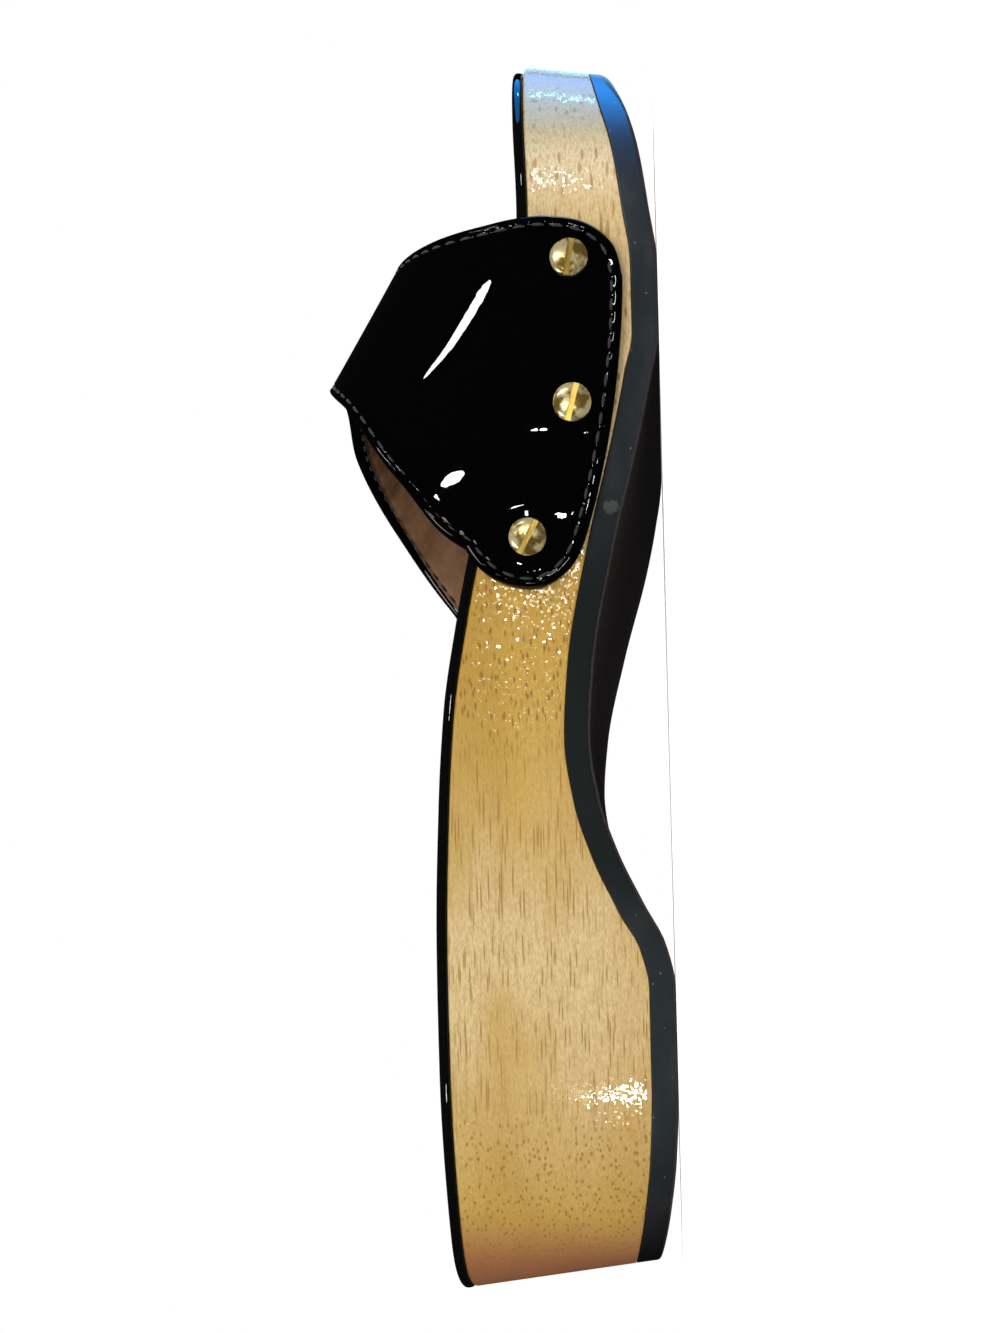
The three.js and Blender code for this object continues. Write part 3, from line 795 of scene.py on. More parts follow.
def rubberMaterial(settings):
    material, tree, shader, place = newMaterial("slateRubber", Roughness=0.4)
    patches = ranged(tree, noise(tree, place, settings["patchSize"], 4.0), 0.4, 0.7)
    colour = mixed(tree, patches, settings["buffed"], settings["worn"])
    dust = ranged(tree, cellsOf(tree, place, settings["dustSize"])["Distance"], 0.03, 0.07, 0.8, 0.0)
    colour = mixed(tree, dust, colour, settings["dust"])
    away = vectorMath(tree, "DISTANCE", place, Vector(settings["scuffPlace"]) * mm)
    ragged = calculated(tree, "MULTIPLY", noise(tree, place, settings["raggedSize"], 2.0),
                        settings["scuffRagged"] * mm)
    scuff = fadeAlong(tree, calculated(tree, "ADD", away, ragged), settings["scuffReach"], 0.7, 0.0)
    colour = mixed(tree, scuff, colour, settings["scuff"])
    along = addNode(tree, "ShaderNodeSeparateXYZ", Vector=place).outputs["X"]
    tree.links.new(fadeAlong(tree, along, settings["toeGlossStart"], 0.22, 1.0),
                   shader.inputs["Specular IOR Level"])
    # painted shade: darker in the arch
    archShade = calculated(tree, "MULTIPLY", fadeAlong(tree, along, settings["archShadeStart"]),
                        fadeAlong(tree, along, settings["archShadeEnd"], 1.0, 0.0))
    colour = mixed(tree, archShade, colour, settings["arch"])
    # painted shade at the heel's end
    colour = mixed(tree, fadeAlong(tree, along, settings["heelEndPaintedShadeReach"], 0.85, 0.0), colour,
                   settings["heelEndPaintedShade"])
    coordinates = tree.nodes["Texture Coordinate"]
    facing = addNode(tree, "ShaderNodeSeparateXYZ", Vector=coordinates.outputs["Normal"])
    wavy = calculated(tree, "MULTIPLY", noise(tree, place, settings["treadRaggedSize"], 3.0), 0.5)
    isTread = ranged(tree, calculated(tree, "ADD", facing.outputs["Z"], wavy), -0.3, -0.1, 1.0, 0.0)
    colour = mixed(tree, isTread, colour, settings["tread"])
    tree.links.new(colour, shader.inputs["Base Color"])
    grain = noise(tree, place, settings["grainSize"], 3.0)
    tree.links.new(bumped(tree, grain, settings["grainRelief"]), shader.inputs["Normal"])
    return material


# Black patent: waves are the sizes and depths of the film's unevenness
insoleFinish = {
    "colour": (0.002, 0.002, 0.002, 1),
    "roughness": 0.12,
    "lacquer": 0.55,
    "waves": ((2.2, 0.03), (1.8, 0.0032)),
}
strapFinish = {
    "colour": (0.0006, 0.0006, 0.0007, 1),
    "roughness": 0.2,
    "lacquer": 1.0,
    "waves": ((30, 0.05), (1.8, 0.0032)),
}


def patentMaterial(name, settings):
    material, tree, shader, place = newMaterial(
        name, Base_Color=settings["colour"], Roughness=settings["roughness"], Specular_IOR_Level=0.0,
        Coat_Weight=settings["lacquer"], Coat_Roughness=0.01)
    normal = None
    for size, depth in settings["waves"]:
        normal = bumped(tree, noise(tree, place, (size, size, size), 1.0), depth, normal)
    tree.links.new(normal, shader.inputs["Normal"])
    tree.links.new(normal, shader.inputs["Coat Normal"])
    return material


# Tan leather of the strap's inside
liningFinish = {
    "tan": (0.25, 0.13, 0.062, 1),
    "dark": (0.125, 0.057, 0.026, 1),
    "patchSize": (12, 4, 12),
    "grainSize": (1.1, 1.1, 1.1),
    "grainRelief": 0.06,
}


def liningMaterial(settings):
    material, tree, shader, place = newMaterial("tanLining", Roughness=0.55)
    patches = ranged(tree, noise(tree, place, settings["patchSize"], 4.0), 0.35, 0.7)
    colour = mixed(tree, patches, settings["tan"], settings["dark"])
    tree.links.new(colour, shader.inputs["Base Color"])
    grain = cellsOf(tree, place, settings["grainSize"])["Distance"]
    tree.links.new(bumped(tree, grain, settings["grainRelief"]), shader.inputs["Normal"])
    return material


def roundedSteps(count):
    return [math.pi / 2 * i / count for i in range(1, count + 1)]


def wallShares(count):
    # even rows, and one beside each end that keeps the wall's shading flat up to its edges
    return [0.02] + [i / count for i in range(1, count)] + [0.98]


def soleLayer(name, bottomAt, topAt, settings, lowRadiusAt, insetAt=lambda x: 0):
    # a layer between two heights, with a rounded edge at each and a wall between
    highRadius = settings["upperRadius"]

    def lowFace(angle):
        return layerFace(
            lambda x, y, across: bottomAt(x, y, across) + lowRadiusAt(x) * (1 - math.cos(angle)),
            lambda x: insetAt(x) + lowRadiusAt(x) * (1 - math.sin(angle)))

    def highFace(angle):
        return layerFace(
            lambda x, y, across: topAt(x, y, across) - highRadius * (1 - math.sin(angle)),
            lambda x: insetAt(x) + highRadius * (1 - math.cos(angle)))

    def wallFace(share):
        return layerFace(lambda x, y, across: lerp(
            bottomAt(x, y, across) + lowRadiusAt(x), topAt(x, y, across) - highRadius, share), insetAt)

    rims = [rimOf(lowFace(angle)) for angle in roundedSteps(settings["lowerSteps"])]
    if settings["wallSteps"]:
        rims += [rimOf(wallFace(share)) for share in wallShares(settings["wallSteps"])]
    rims += [rimOf(highFace(angle)) for angle in [0] + roundedSteps(settings["upperSteps"])[:-1]]
    return layerBody(name, lowFace(0), rims, highFace(math.pi / 2))


# Rubber sole: a sheet of even thickness under the wood, rounded where it meets floor and toe
rubberSole = {
    "treadEdgeRadius": 0.8,
    "toeEdgeRadius": 3,
    "toeEdgeStart": 0.42,
    "toeEdgeFull": 0.48,
    "upperRadius": 0.2,
    "lowerSteps": 5,
    "upperSteps": 3,
    "wallSteps": 6,
}


def makeRubberSole(settings):
    def radiusAt(x):
        share = fade(x / sole["length"], settings["toeEdgeStart"], settings["toeEdgeFull"])
        return lerp(settings["treadEdgeRadius"], settings["toeEdgeRadius"], share)

    return soleLayer("rubberSole", lambda x, y, across: treadHeight(x, y),
                     lambda x, y, across: rubberTop(x, y), settings, radiusAt)


# Wood sole: carved body with softened edges
woodSole = {
    "seamGap": 0.08,
    "lowerRadius": 0.25,
    "upperRadius": 0.7,
    "lowerSteps": 4,
    "upperSteps": 4,
    "wallSteps": 10,
}


def makeWoodSole(settings):
    return soleLayer("woodSole", lambda x, y, across: rubberTop(x, y) + settings["seamGap"],
                     lambda x, y, across: woodTop(x, across), settings, lambda x: settings["lowerRadius"])


# Insole board covered in patent, its edge a full soft round that stands a little proud of the wood
insoleBoard = {
    "lowerRadius": 0.7,
    "upperRadius": 0.95,
    "seamGap": 0.05,
    "proud": 0.1,
    "lowerSteps": 5,
    "upperSteps": 5,
    "wallSteps": 0,
}


def makeInsole(settings):
    top = sole["clearance"] + sole["insoleThickness"]
    return soleLayer("insoleBoard", lambda x, y, across: woodTop(x, across) + settings["seamGap"],
                     lambda x, y, across: woodTop(x, across) + top, settings,
                     lambda x: settings["lowerRadius"], lambda x: insoleInset(x) - settings["proud"])


finishPiece(makeRubberSole(rubberSole), ["outsole"], [rubberMaterial(rubberFinish)])
finishPiece(makeWoodSole(woodSole), ["wood_sole"], [woodMaterial(woodFinish)])
finishPiece(makeInsole(insoleBoard), ["insole"],
            [patentMaterial("insolePatent", insoleFinish)])

# Strap: sizes of its form, of its rounded edge, and of the stitched groove near it. The leather puffs up
# between the stitch holes, and is dimpled round the screws.
strap = {
    "wall": 2.6,
    "room": 27.9,
    "rise": 0.63,
    "fullness": 2.1,
    "crestOffset": -3,
    "foot": 0.5,
    "flapBow": 0.9,
    "bowRows": 2,
    "edgeBand": (0, 0.1, 0.25, 0.45, 0.7, 1, 1.3, 1.6, 1.8, 2, 2.2, 2.5, 2.9, 3.4, 4.2),
    "stepsAcross": 68,
    "rowSpacing": 0.7,
    "stitchInset": 2.0,
    "stitchPitch": 3.5,
    "beadHeight": 0.12,
    "beadInset": 1.1,
    "beadWidth": 0.5,
    "grooveDepth": 0.14,
    "holeDepth": 0.26,
    "grooveWidth": 0.5,
    "liningGroove": 0.6,
    "liningInset": 1.0,
    "puffHeight": 0.02,
    "puffInset": 3.1,
    "puffWidth": 0.75,
    "threadSink": 0.05,
    "liningThreadSink": 0.1,
    "dimpleDepth": 0.2,
    "dimpleStart": 3.2,
    "dimpleEnd": 5.6,
}

# Cut of the strap from the inner flap over the instep to the outer flap. along is a share of the sole's
# length; turn is 0 at the crest, 1 at the insole's edge and 2 at floor level, negative on the inner side.
strapRows = table(
    "frontAlong frontTurn backAlong backTurn",
    (0.284, -1.765, 0.1165, -1.64),
    (0.309, -1.7, 0.0815, -1.575),
    (0.3265, -1.512, 0.0625, -1.46),
    (0.333, -1.25, 0.0585, -1.32),
    (0.332, -1.03, 0.07, -1.13),
    (0.328, -0.85, 0.0965, -0.965),
    (0.3265, -0.6, 0.145, -0.79),
    (0.3275, -0.3, 0.2065, -0.48),
    (0.3275, 0, 0.2375, 0),
    (0.3195, 0.3, 0.2005, 0.3),
    (0.3105, 0.6, 0.1425, 0.6),
    (0.2985, 0.85, 0.074, 0.85),
    (0.2905, 1.03, 0.0125, 1.03),
    (0.282, 1.25, -0.018, 1.3),
    (0.2745, 1.512, -0.015, 1.46),
    (0.2565, 1.7, 0.003, 1.575),
    (0.2305, 1.765, 0.0395, 1.64),
)

# Gentle swellings of the leather: x and z of the middle, reach and height, on the side given
swellRows = table(
    "x z side reach height",
    (35, 39.5, -1, 12, 0.22),
    (63, 37, -1, 16, 0.15),
    (22, 40, 1, 14, 0.2),
    (48, 36, 1, 15, 0.15),
)

# Screws: along and turn as for the strap, tilt is the slot's angle from the shoe's length in degrees
screwRows = table(
    "node along turn tilt",
    ("screw_medial_front", 0.299, -1.4, -10),
    ("screw_medial_middle", 0.192, -1.475, -15),
    ("screw_medial_back", 0.0965, -1.312, -30),
    ("screw_lateral_front", 0.2485, 1.4, -12),
    ("screw_lateral_middle", 0.128, 1.475, 20),
    ("screw_lateral_back", 0.019, 1.312, -35),
)


def strapFootHeight(x):
    return insoleTopEdge(x) + strap["foot"]


def strapPoint(x, turn, lift):
    # lift is 0 on the lining and the wall's thickness outside
    x, turn = np.broadcast_arrays(np.asarray(x, float), np.asarray(turn, float))
    side = np.where(turn < 0, -1, 1)
    edgeY, _, normalY = edgeAt(x, side)
    footHeight = strapFootHeight(x)
    halfWidth = np.abs(edgeY - strap["crestOffset"]) + (sole["clearance"] + lift) / np.abs(normalY)
    crestFront = next(row for row in strapRows if row["frontTurn"] == 0)["frontAlong"] * sole["length"]
    crest = insoleTopEdge(crestFront) + strap["room"] + strap["rise"] * (crestFront - x)
    height = crest - (strap["wall"] - lift) * math.hypot(1, strap["rise"]) - footHeight
    drop = np.abs(turn)
    flapZ = footHeight * (2 - drop)
    angle = np.minimum(drop, 1) * math.pi / 2
    out = np.sin(angle) ** (2 / strap["fullness"])
    up = np.maximum(0, np.cos(angle)) ** (2 / strap["fullness"])
    z = np.where(drop > 1, flapZ, footHeight + height * up)
    tuck = sideShift(x, np.where(drop > 1, flapZ, footHeight))[0]
    y = strap["crestOffset"] + side * (halfWidth - tuck) * np.where(drop > 1, 1, out)
    return np.stack((x, y, z), axis=-1)


def strapCut(position):
    last = len(strapRows) - 1
    i = np.minimum(last - 1, np.floor(position).astype(int))
    cut = {}
    for column in ("frontAlong", "frontTurn", "backAlong", "backTurn"):
        values = np.array([row[column] for row in strapRows])
        a, b, c, d = [values[np.clip(i + step, 0, last)] for step in (-1, 0, 1, 2)]
        cut[column] = spline(a, b, c, d, position - i)
    return cut


def strapPlace(position, t):
    # place along the shoe and turn, for a cut position and a share t from front to back edge
    last = len(strapRows) - 1
    cut = strapCut(position)
    nearEnd = 1 - fade(np.minimum(position, last - position), 0, strap["bowRows"])
    x = lerp(cut["frontAlong"], cut["backAlong"], t) * sole["length"]
    bow = strap["flapBow"] * nearEnd * 4 * t * (1 - t) / strapFootHeight(x)
    turn = lerp(cut["frontTurn"], cut["backTurn"], t)
    return x, turn + np.sign(turn) * bow


def runAlong(line):
    # length from the line's start to each of its points
    return np.concatenate(([0], np.cumsum(np.linalg.norm(np.diff(line, axis=0), axis=1))))


def banded(total, band, steps):
    # distances from 0 to total, close together near both ends
    band = np.array(band)
    middle = np.linspace(band[-1], total - band[-1], steps + 1)[1:-1]
    return np.concatenate((band, middle, (total - band)[::-1]))


def strapGrid():
    # grid of cut positions and shares with even steps in millimetres
    last = len(strapRows) - 1
    fine = np.linspace(0, last, 1601)
    x, turn = strapPlace(fine, np.full_like(fine, 0.5))
    run = runAlong(strapPoint(x, turn, strap["wall"]))
    steps = int((run[-1] - 2 * strap["edgeBand"][-1]) / strap["rowSpacing"])
    positions = np.interp(banded(run[-1], strap["edgeBand"], steps), run, fine)
    shares = []
    for position in positions:
        t = np.linspace(0, 1, 21)
        width = runAlong(strapPoint(*strapPlace(np.full_like(t, position), t), strap["wall"]))[-1]
        shares.append(banded(width, strap["edgeBand"], strap["stepsAcross"]) / width)
    return positions, np.array(shares)


def gridNormals(grid):
    down = np.gradient(grid, axis=0)
    across = np.gradient(grid, axis=1)
    normal = np.cross(down, across)
    return normal / np.linalg.norm(normal, axis=-1, keepdims=True)


def borderOf(grid):
    return np.concatenate((grid[0, :-1], grid[:-1, -1], grid[-1, :0:-1], grid[:0:-1, 0]))


def resampled(loop, spacing):
    # closed loop with even steps, and its length
    closed = np.concatenate((loop, loop[:1]))
    run = runAlong(closed)
    count = max(8, int(round(run[-1] / spacing)))
    at = np.linspace(0, run[-1], count, endpoint=False)
    return np.stack([np.interp(at, run, closed[:, i]) for i in range(3)], axis=-1), run[-1]


def smoothed(loop, reach):
    total = sum(np.roll(loop, step, axis=0) for step in range(-reach, reach + 1))
    return total / (2 * reach + 1)


def gridTree(grid):
    rows, columns = grid.shape[:2]
    quads = [
        (i * columns + j, (i + 1) * columns + j, (i + 1) * columns + j + 1, i * columns + j + 1)
        for i in range(rows - 1) for j in range(columns - 1)
    ]
    return BVHTree.FromPolygons([tuple(p) for p in grid.reshape(-1, 3)], quads)


def nearestOnGrid(tree, places):
    hits = [tree.find_nearest(place) for place in places]
    return [np.array([tuple(hit[i]) for hit in hits]) for i in (0, 1)]


def nearestOn(loop, places):
    # distance of each place to a dense loop, and the share of the loop's length there
    tree = KDTree(len(loop))
    for i, point in enumerate(loop):
        tree.insert(point, i)
    tree.balance()
    found = [tree.find(place) for place in places]
    return np.array([hit[2] for hit in found]), np.array([hit[1] for hit in found]) / len(loop)


def screwSeat(row):
    x = row["along"] * sole["length"]
    _, normalX, normalY = edgeAt(x, np.sign(row["turn"]))
    return strapPoint(x, row["turn"], strap["wall"]), np.array((float(normalX), float(normalY), 0))


def hump(distance, middle, reach):
    # soft ridge of height 1
    return np.exp(-((distance - middle) / reach) ** 2)


def stitchLine(grid, normals):
    # the stitches run at an even distance inside the strap's edge
    border = borderOf(grid)
    up = borderOf(normals)
    ahead = np.roll(border, -1, axis=0) - np.roll(border, 1, axis=0)
    inward = np.cross(up, ahead)
    inward /= np.linalg.norm(inward, axis=-1, keepdims=True)
    middle = grid[len(grid) // 2, grid.shape[1] // 2]
    centre = np.sign(np.einsum("ij,ij->i", inward, middle - border).mean())
    line = resampled(border + inward * centre * strap["stitchInset"], 0.1)[0]
    line, length = resampled(smoothed(line, 15), 0.1)
    tree = gridTree(grid)
    places, ups = nearestOnGrid(tree, line)
    ups = smoothed(ups, 10)
    return places, ups / np.linalg.norm(ups, axis=-1, keepdims=True), length


def makeStrap():
    positions, shares = strapGrid()
    x, turn = strapPlace(positions[:, None], shares)
    outer = strapPoint(x, turn, strap["wall"])
    inner = strapPoint(x, turn, 0)
    normals = gridNormals(outer)
    edge = resampled(borderOf(outer), 0.05)[0]
    distance = nearestOn(edge, outer.reshape(-1, 3))[0].reshape(outer.shape[:2])
    distance[[0, -1]] = 0
    distance[:, [0, -1]] = 0
    line, ups, lineLength = stitchLine(outer, normals)
    toLine, share = nearestOn(line, outer.reshape(-1, 3))
    toLine = toLine.reshape(outer.shape[:2])
    stitchCount = round(lineLength / strap["stitchPitch"])
    phase = 0.5 + 0.5 * np.cos(2 * math.pi * share.reshape(toLine.shape) * stitchCount)

    radius = strap["wall"] / 2
    rounded = np.sqrt(1 - np.clip(1 - distance / radius, 0, 1) ** 2)[..., None]
    middle = (outer + inner) / 2
    half = (outer - inner) / 2
    groove = (strap["grooveDepth"] + strap["holeDepth"] * phase) * hump(toLine, 0, strap["grooveWidth"])
    puff = strap["puffHeight"] * (1.6 - phase) * hump(distance, strap["puffInset"], strap["puffWidth"])
    bead = strap["beadHeight"] * hump(distance, strap["beadInset"], strap["beadWidth"])
    relief = bead + puff - groove
    for row in screwRows:
        away = np.linalg.norm(outer - screwSeat(row)[0], axis=-1)
        relief = relief - strap["dimpleDepth"] * (1 - fade(away, strap["dimpleStart"], strap["dimpleEnd"]))
    for row in swellRows:
        away = np.hypot(outer[..., 0] - row["x"], outer[..., 2] - row["z"])
        isSide = outer[..., 1] * row["side"] > 0
        relief = relief + isSide * row["height"] * hump(away, 0, row["reach"])
    outside = middle + half * rounded + normals * relief[..., None]
    inside = middle - half * rounded + normals * (strap["liningGroove"] * groove)[..., None]

    rows, columns = outer.shape[:2]
    outerIds = np.arange(rows * columns).reshape(rows, columns)
    innerIds = outerIds + rows * columns
    isBorder = distance == 0
    innerIds = np.where(isBorder, outerIds, innerIds)
    outside = np.where(isBorder[..., None], middle, outside)
    points = np.concatenate((outside.reshape(-1, 3), inside.reshape(-1, 3)))
    faces = []
    isLining = []
    for i in range(rows - 1):
        for j in range(columns - 1):
            faces.append((outerIds[i, j], outerIds[i + 1, j], outerIds[i + 1, j + 1], outerIds[i, j + 1]))
            faces.append((innerIds[i, j], innerIds[i, j + 1], innerIds[i + 1, j + 1], innerIds[i + 1, j]))
            isLining += [0, int(distance[i:i + 2, j:j + 2].min() > strap["liningInset"])]
    used = np.unique(np.array(faces))
    renumber = np.zeros(len(points), int)
    renumber[used] = np.arange(len(used))
    piece = meshPiece("strap", points[used], [tuple(int(renumber[k]) for k in face) for face in faces])
    piece.data.polygons.foreach_set("material_index", isLining)
    liningLine = nearestOnGrid(gridTree(inner), line)[0]
    stitched = {
        "outside": (line - ups * (strap["grooveDepth"] + strap["threadSink"]), ups),
        "lining": (liningLine + ups * strap["liningThreadSink"], -ups),
    }
    return piece, stitched, stitchCount


strapPiece, stitchedLines, stitchCount = makeStrap()
finishPiece(strapPiece, ["upper"],
            [patentMaterial("strapPatent", strapFinish), liningMaterial(liningFinish)])


def newTree(name, sizes):
    # node tree from geometry to geometry, with named inputs for its sizes, a count and the material
    tree = bpy.data.node_groups.new(name, "GeometryNodeTree")
    inputs = [("Geometry", "NodeSocketGeometry")]
    inputs += [(label, "NodeSocketFloat") for label in sizes]
    inputs += [("Count", "NodeSocketInt"), ("Material", "NodeSocketMaterial")]
    for label, kind in inputs:
        tree.interface.new_socket(label, in_out="INPUT", socket_type=kind)
    tree.interface.new_socket("Geometry", in_out="OUTPUT", socket_type="NodeSocketGeometry")
    return tree, addNode(tree, "NodeGroupInput").outputs


def builtByTree(holder, tree, values):
    # the holder's mesh run through the tree, as a plain mesh
    modifier = holder.modifiers.new("build", "NODES")
    modifier.node_group = tree
    for item in tree.interface.items_tree:
        if item.in_out == "INPUT" and item.name in values:
            modifier[item.identifier] = values[item.name]
    depsgraph = bpy.context.evaluated_depsgraph_get()
    mesh = bpy.data.meshes.new_from_object(holder.evaluated_get(depsgraph), depsgraph=depsgraph)
    holder.modifiers.remove(modifier)
    holder.data = mesh
    return holder


def pathHolder(name, points, edges, vectors):
    mesh = bpy.data.meshes.new(name)
    mesh.from_pydata((points + placeOnFrame) * mm, edges, [])
    for label, values in vectors.items():
        layer = mesh.attributes.new(label, "FLOAT_VECTOR", "POINT")
        layer.data.foreach_set("vector", np.asarray(values, float).ravel())
    holder = bpy.data.objects.new(name, mesh)
    bpy.context.scene.collection.objects.link(holder)
    return holder


def finishTree(tree, points, instance, rotation, material):
    placed = addNode(
        tree, "GeometryNodeInstanceOnPoints", Points=points, Instance=instance, Rotation=rotation)
    realized = addNode(tree, "GeometryNodeRealizeInstances", Geometry=placed.outputs[0])
    coloured = addNode(tree, "GeometryNodeSetMaterial", Geometry=realized.outputs[0], Material=material)
    addNode(tree, "NodeGroupOutput", Geometry=coloured.outputs[0])


def namedVector(tree, label):
    node = addNode(tree, "GeometryNodeInputNamedAttribute", {"data_type": "FLOAT_VECTOR"}, Name=label)
    return node.outputs["Attribute"]


# Stitches: short arches of thread whose ends go down into the leather
stitches = {
    "Length": 3.0,
    "Thread": 0.72,
    "Lift": 0.55,
    "Sink": 0.75,
}

threadFinish = {
    "dark": (0.006, 0.007, 0.008, 1),
    "light": (0.03, 0.033, 0.036, 1),
    "toneSize": (0.4, 0.4, 0.4),
}


def stitchTree():
    tree, given = newTree("stitchRow", stitches)
    curve = addNode(tree, "GeometryNodeMeshToCurve", Mesh=given["Geometry"])
    even = addNode(tree, "GeometryNodeResampleCurve", Curve=curve.outputs[0], Count=given["Count"])
    reach = calculated(tree, "MULTIPLY", given["Length"], 0.5)
    back = calculated(tree, "MULTIPLY", given["Length"], -0.5)
    down = calculated(tree, "MULTIPLY", given["Sink"], -1.0)
    ends = [addNode(tree, "ShaderNodeCombineXYZ", X=side, Z=down).outputs[0] for side in (back, reach)]
    top = addNode(tree, "ShaderNodeCombineXYZ", Z=given["Lift"]).outputs[0]
    arch = addNode(tree, "GeometryNodeCurveQuadraticBezier", Resolution=9, Start=ends[0], Middle=top,
                   End=ends[1])
    radius = calculated(tree, "MULTIPLY", given["Thread"], 0.5)
    ring = addNode(tree, "GeometryNodeCurvePrimitiveCircle", Resolution=8, Radius=radius)
    tube = addNode(tree, "GeometryNodeCurveToMesh", Curve=arch.outputs[0], Profile_Curve=ring.outputs[0],
                   Fill_Caps=True)
    turn = addNode(tree, "FunctionNodeAxesToRotation", {"primary_axis": "Z", "secondary_axis": "X"},
                   Primary_Axis=namedVector(tree, "surfaceUp"),
                   Secondary_Axis=addNode(tree, "GeometryNodeInputTangent").outputs[0])
    finishTree(tree, even.outputs[0], tube.outputs[0], turn.outputs[0], given["Material"])
    return tree


def threadMaterial(settings):
    material, tree, shader, place = newMaterial("blackThread", Roughness=0.6, Sheen_Weight=0.2)
    tone = noise(tree, place, settings["toneSize"], 2.0)
    colour = mixed(tree, tone, settings["dark"], settings["light"])
    tree.links.new(colour, shader.inputs["Base Color"])
    return material


def makeStitches(name, line, ups, rowTree, material):
    # half a pitch off the holes, so that each stitch spans from hole to hole
    shift = int(round(len(line) / stitchCount / 2))
    line, ups = np.roll(line, -shift, axis=0), np.roll(ups, -shift, axis=0)
    edges = [(i, (i + 1) % len(line)) for i in range(len(line))]
    holder = pathHolder(name, line, edges, {"surfaceUp": ups})
    values = {label: stitches[label] * mm for label in stitches}
    values.update(Count=stitchCount, Material=material)
    return builtByTree(holder, rowTree, values)


thread = threadMaterial(threadFinish)
rowTree = stitchTree()
for label in ("outside", "lining"):
    line, ups = stitchedLines[label]
    piece = makeStitches("stitches" + label.capitalize(), line, ups, rowTree, thread)
    piece.data.shade_smooth()
    finishPiece(piece, [], [thread])

# Screws: slotted brass heads, slightly domed with a soft rim
screws = {
    "Diameter": 7,
    "Rim": 1.1,
    "Dome": 0.55,
    "Edge": 0.35,
    "Slot Width": 1.1,
    "Slot Depth": 0.9,
}
screwSink = 0.3

brassFinish = {
    "bright": (1, 0.86, 0.45, 1),
    "tarnish": (0.28, 0.18, 0.045, 1),
    "slot": (0.98, 0.7, 0.18, 1),
    "toneSize": (2.4, 2.4, 2.4),
    "scratchSize": (1.5, 1.5, 0.08),
    "scratchRelief": 0.012,
}


def brassMaterial(settings):
    material, tree, shader, place = newMaterial("brass", Metallic=0.75, Roughness=0.2)
    tone = ranged(tree, noise(tree, place, settings["toneSize"], 3.0), 0.42, 0.6)
    colour = mixed(tree, tone, settings["bright"], settings["tarnish"])
    isSlot = addNode(tree, "ShaderNodeAttribute", {"attribute_name": "slot"}).outputs["Fac"]
    colour = mixed(tree, isSlot, colour, settings["slot"])
    tree.links.new(colour, shader.inputs["Base Color"])
    scratches = noise(tree, place, settings["scratchSize"], 3.0)
    tree.links.new(bumped(tree, scratches, settings["scratchRelief"]), shader.inputs["Normal"])
    return material


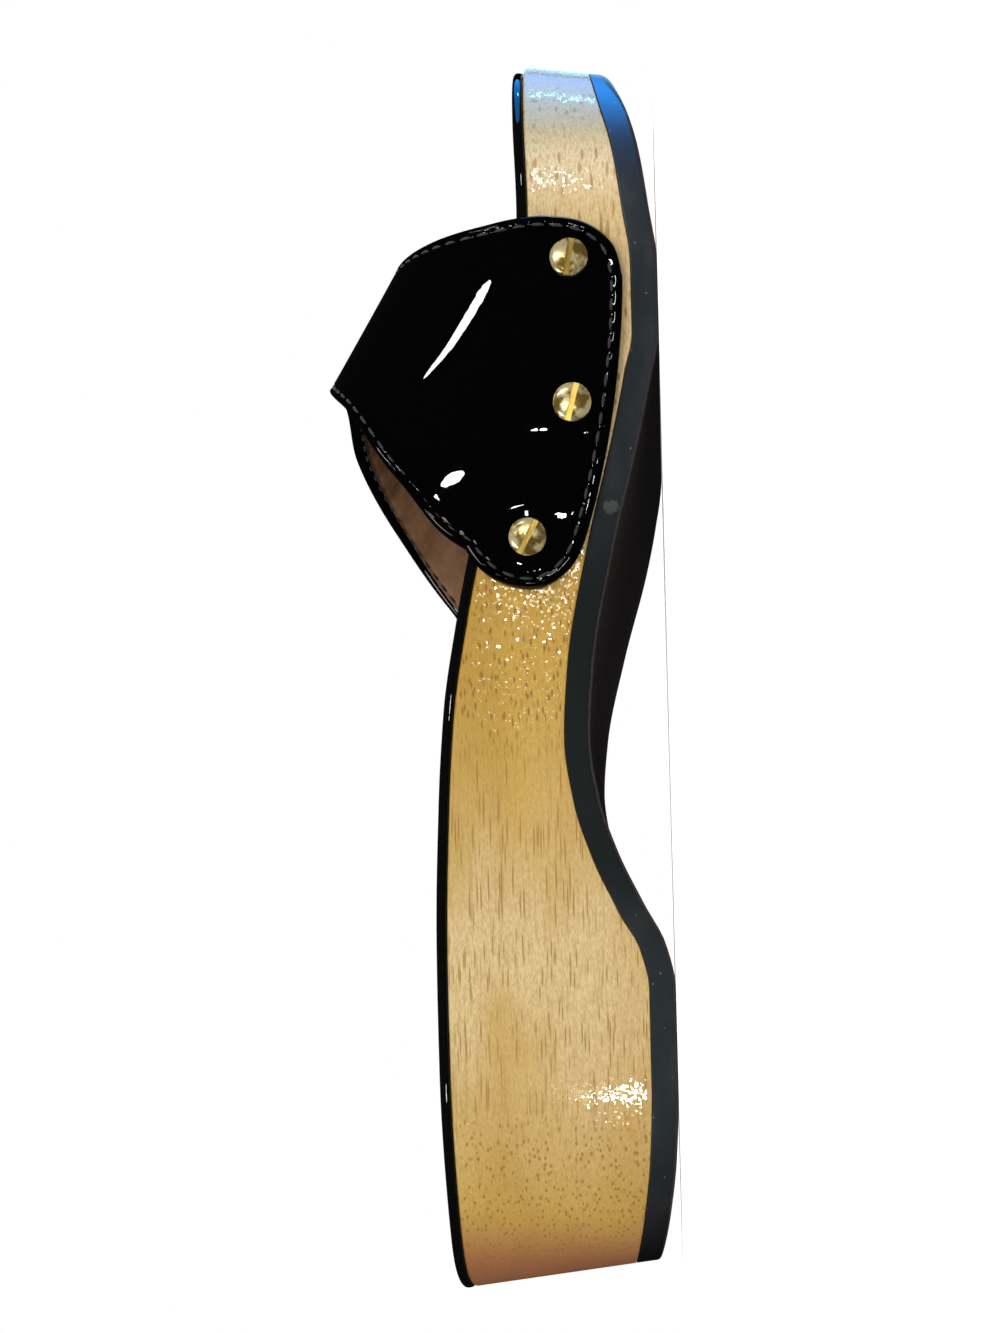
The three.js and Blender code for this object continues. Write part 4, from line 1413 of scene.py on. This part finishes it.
def screwTree():
    tree, given = newTree("screwHeads", screws)
    radius = calculated(tree, "MULTIPLY", given["Diameter"], 0.5)
    body = addNode(tree, "GeometryNodeMeshCylinder", Vertices=56, Side_Segments=4, Fill_Segments=10,
                   Radius=radius, Depth=given["Rim"])
    spot = addNode(tree, "GeometryNodeInputPosition").outputs[0]
    parts = addNode(tree, "ShaderNodeSeparateXYZ", Vector=spot)
    away = calculated(tree, "SQRT", calculated(
        tree, "ADD", calculated(tree, "POWER", parts.outputs["X"], 2.0),
        calculated(tree, "POWER", parts.outputs["Y"], 2.0)))
    share = calculated(tree, "DIVIDE", away, radius)
    domed = calculated(tree, "SUBTRACT", 1.0, calculated(tree, "POWER", share, 2.0))
    rounding = calculated(tree, "POWER", share, 14.0)
    lift = calculated(tree, "SUBTRACT", calculated(tree, "MULTIPLY", domed, given["Dome"]),
                      calculated(tree, "MULTIPLY", rounding, given["Edge"]))
    isTop = calculated(tree, "GREATER_THAN", parts.outputs["Z"],
                       calculated(tree, "MULTIPLY", given["Rim"], 0.49))
    offset = addNode(tree, "ShaderNodeCombineXYZ", Z=calculated(tree, "MULTIPLY", lift, isTop))
    head = addNode(tree, "GeometryNodeSetPosition", Geometry=body.outputs["Mesh"], Offset=offset.outputs[0])
    top = calculated(tree, "ADD", calculated(tree, "MULTIPLY", given["Rim"], 0.5), given["Dome"])
    cutSize = addNode(tree, "ShaderNodeCombineXYZ", X=calculated(tree, "MULTIPLY", given["Diameter"], 2.0),
                      Y=given["Slot Width"], Z=calculated(tree, "MULTIPLY", given["Slot Depth"], 2.0))
    cutter = addNode(tree, "GeometryNodeMeshCube", Size=cutSize.outputs[0])
    cutPlace = addNode(tree, "ShaderNodeCombineXYZ", Z=top)
    raised = addNode(
        tree, "GeometryNodeTransform", Geometry=cutter.outputs[0], Translation=cutPlace.outputs[0])
    marked = [
        addNode(tree, "GeometryNodeStoreNamedAttribute", {"domain": "FACE"}, Geometry=shape.outputs[0],
                Name="slot", Value=share)
        for shape, share in ((head, 0.0), (raised, 1.0))
    ]
    slotted = addNode(tree, "GeometryNodeMeshBoolean", {"operation": "DIFFERENCE", "solver": "MANIFOLD"})
    tree.links.new(marked[0].outputs[0], slotted.inputs[0])
    tree.links.new(marked[1].outputs[0], slotted.inputs[1])
    halfRim = addNode(tree, "ShaderNodeCombineXYZ", Z=calculated(tree, "MULTIPLY", given["Rim"], 0.5))
    seated = addNode(
        tree, "GeometryNodeTransform", Geometry=slotted.outputs[0], Translation=halfRim.outputs[0])
    turn = addNode(tree, "FunctionNodeAxesToRotation", {"primary_axis": "Z", "secondary_axis": "X"},
                   Primary_Axis=namedVector(tree, "facing"), Secondary_Axis=namedVector(tree, "slotAim"))
    points = addNode(tree, "GeometryNodeMeshToPoints", Mesh=given["Geometry"])
    finishTree(tree, points.outputs[0], seated.outputs[0], turn.outputs[0], given["Material"])
    return tree


def makeScrews(material):
    places, facings, aims = [], [], []
    for row in screwRows:
        seat, facing = screwSeat(row)
        tilt = math.radians(row["tilt"])
        level = np.cross(facing, (0, 0, 1)) * np.sign(row["turn"])
        places.append(seat - facing * screwSink)
        facings.append(facing)
        aims.append(level * math.cos(tilt) + np.array((0, 0, 1)) * math.sin(tilt))
    holder = pathHolder("screwHeads", np.array(places), [], {"facing": facings, "slotAim": aims})
    values = {label: screws[label] * mm for label in screws}
    values.update(Count=len(screwRows), Material=material)
    return builtByTree(holder, screwTree(), values)


brass = brassMaterial(brassFinish)
screwPiece = makeScrews(brass)
screwPiece.data.shade_smooth()
screwPiece.data.set_sharp_from_angle(angle=math.radians(32))
finishPiece(screwPiece, [row["node"] for row in screwRows], [brass])

bpy.context.view_layer.update()

# The mirrored lamps reach only the pieces they were placed for
for lampSettings in lamps:
    if lampSettings["pieces"]:
        receivers = bpy.data.collections.new(lampSettings["name"] + "Reach")
        for pieceName in lampSettings["pieces"]:
            receivers.objects.link(bpy.data.objects[pieceName])
        bpy.data.objects[lampSettings["name"]].light_linking.receiver_collection = receivers
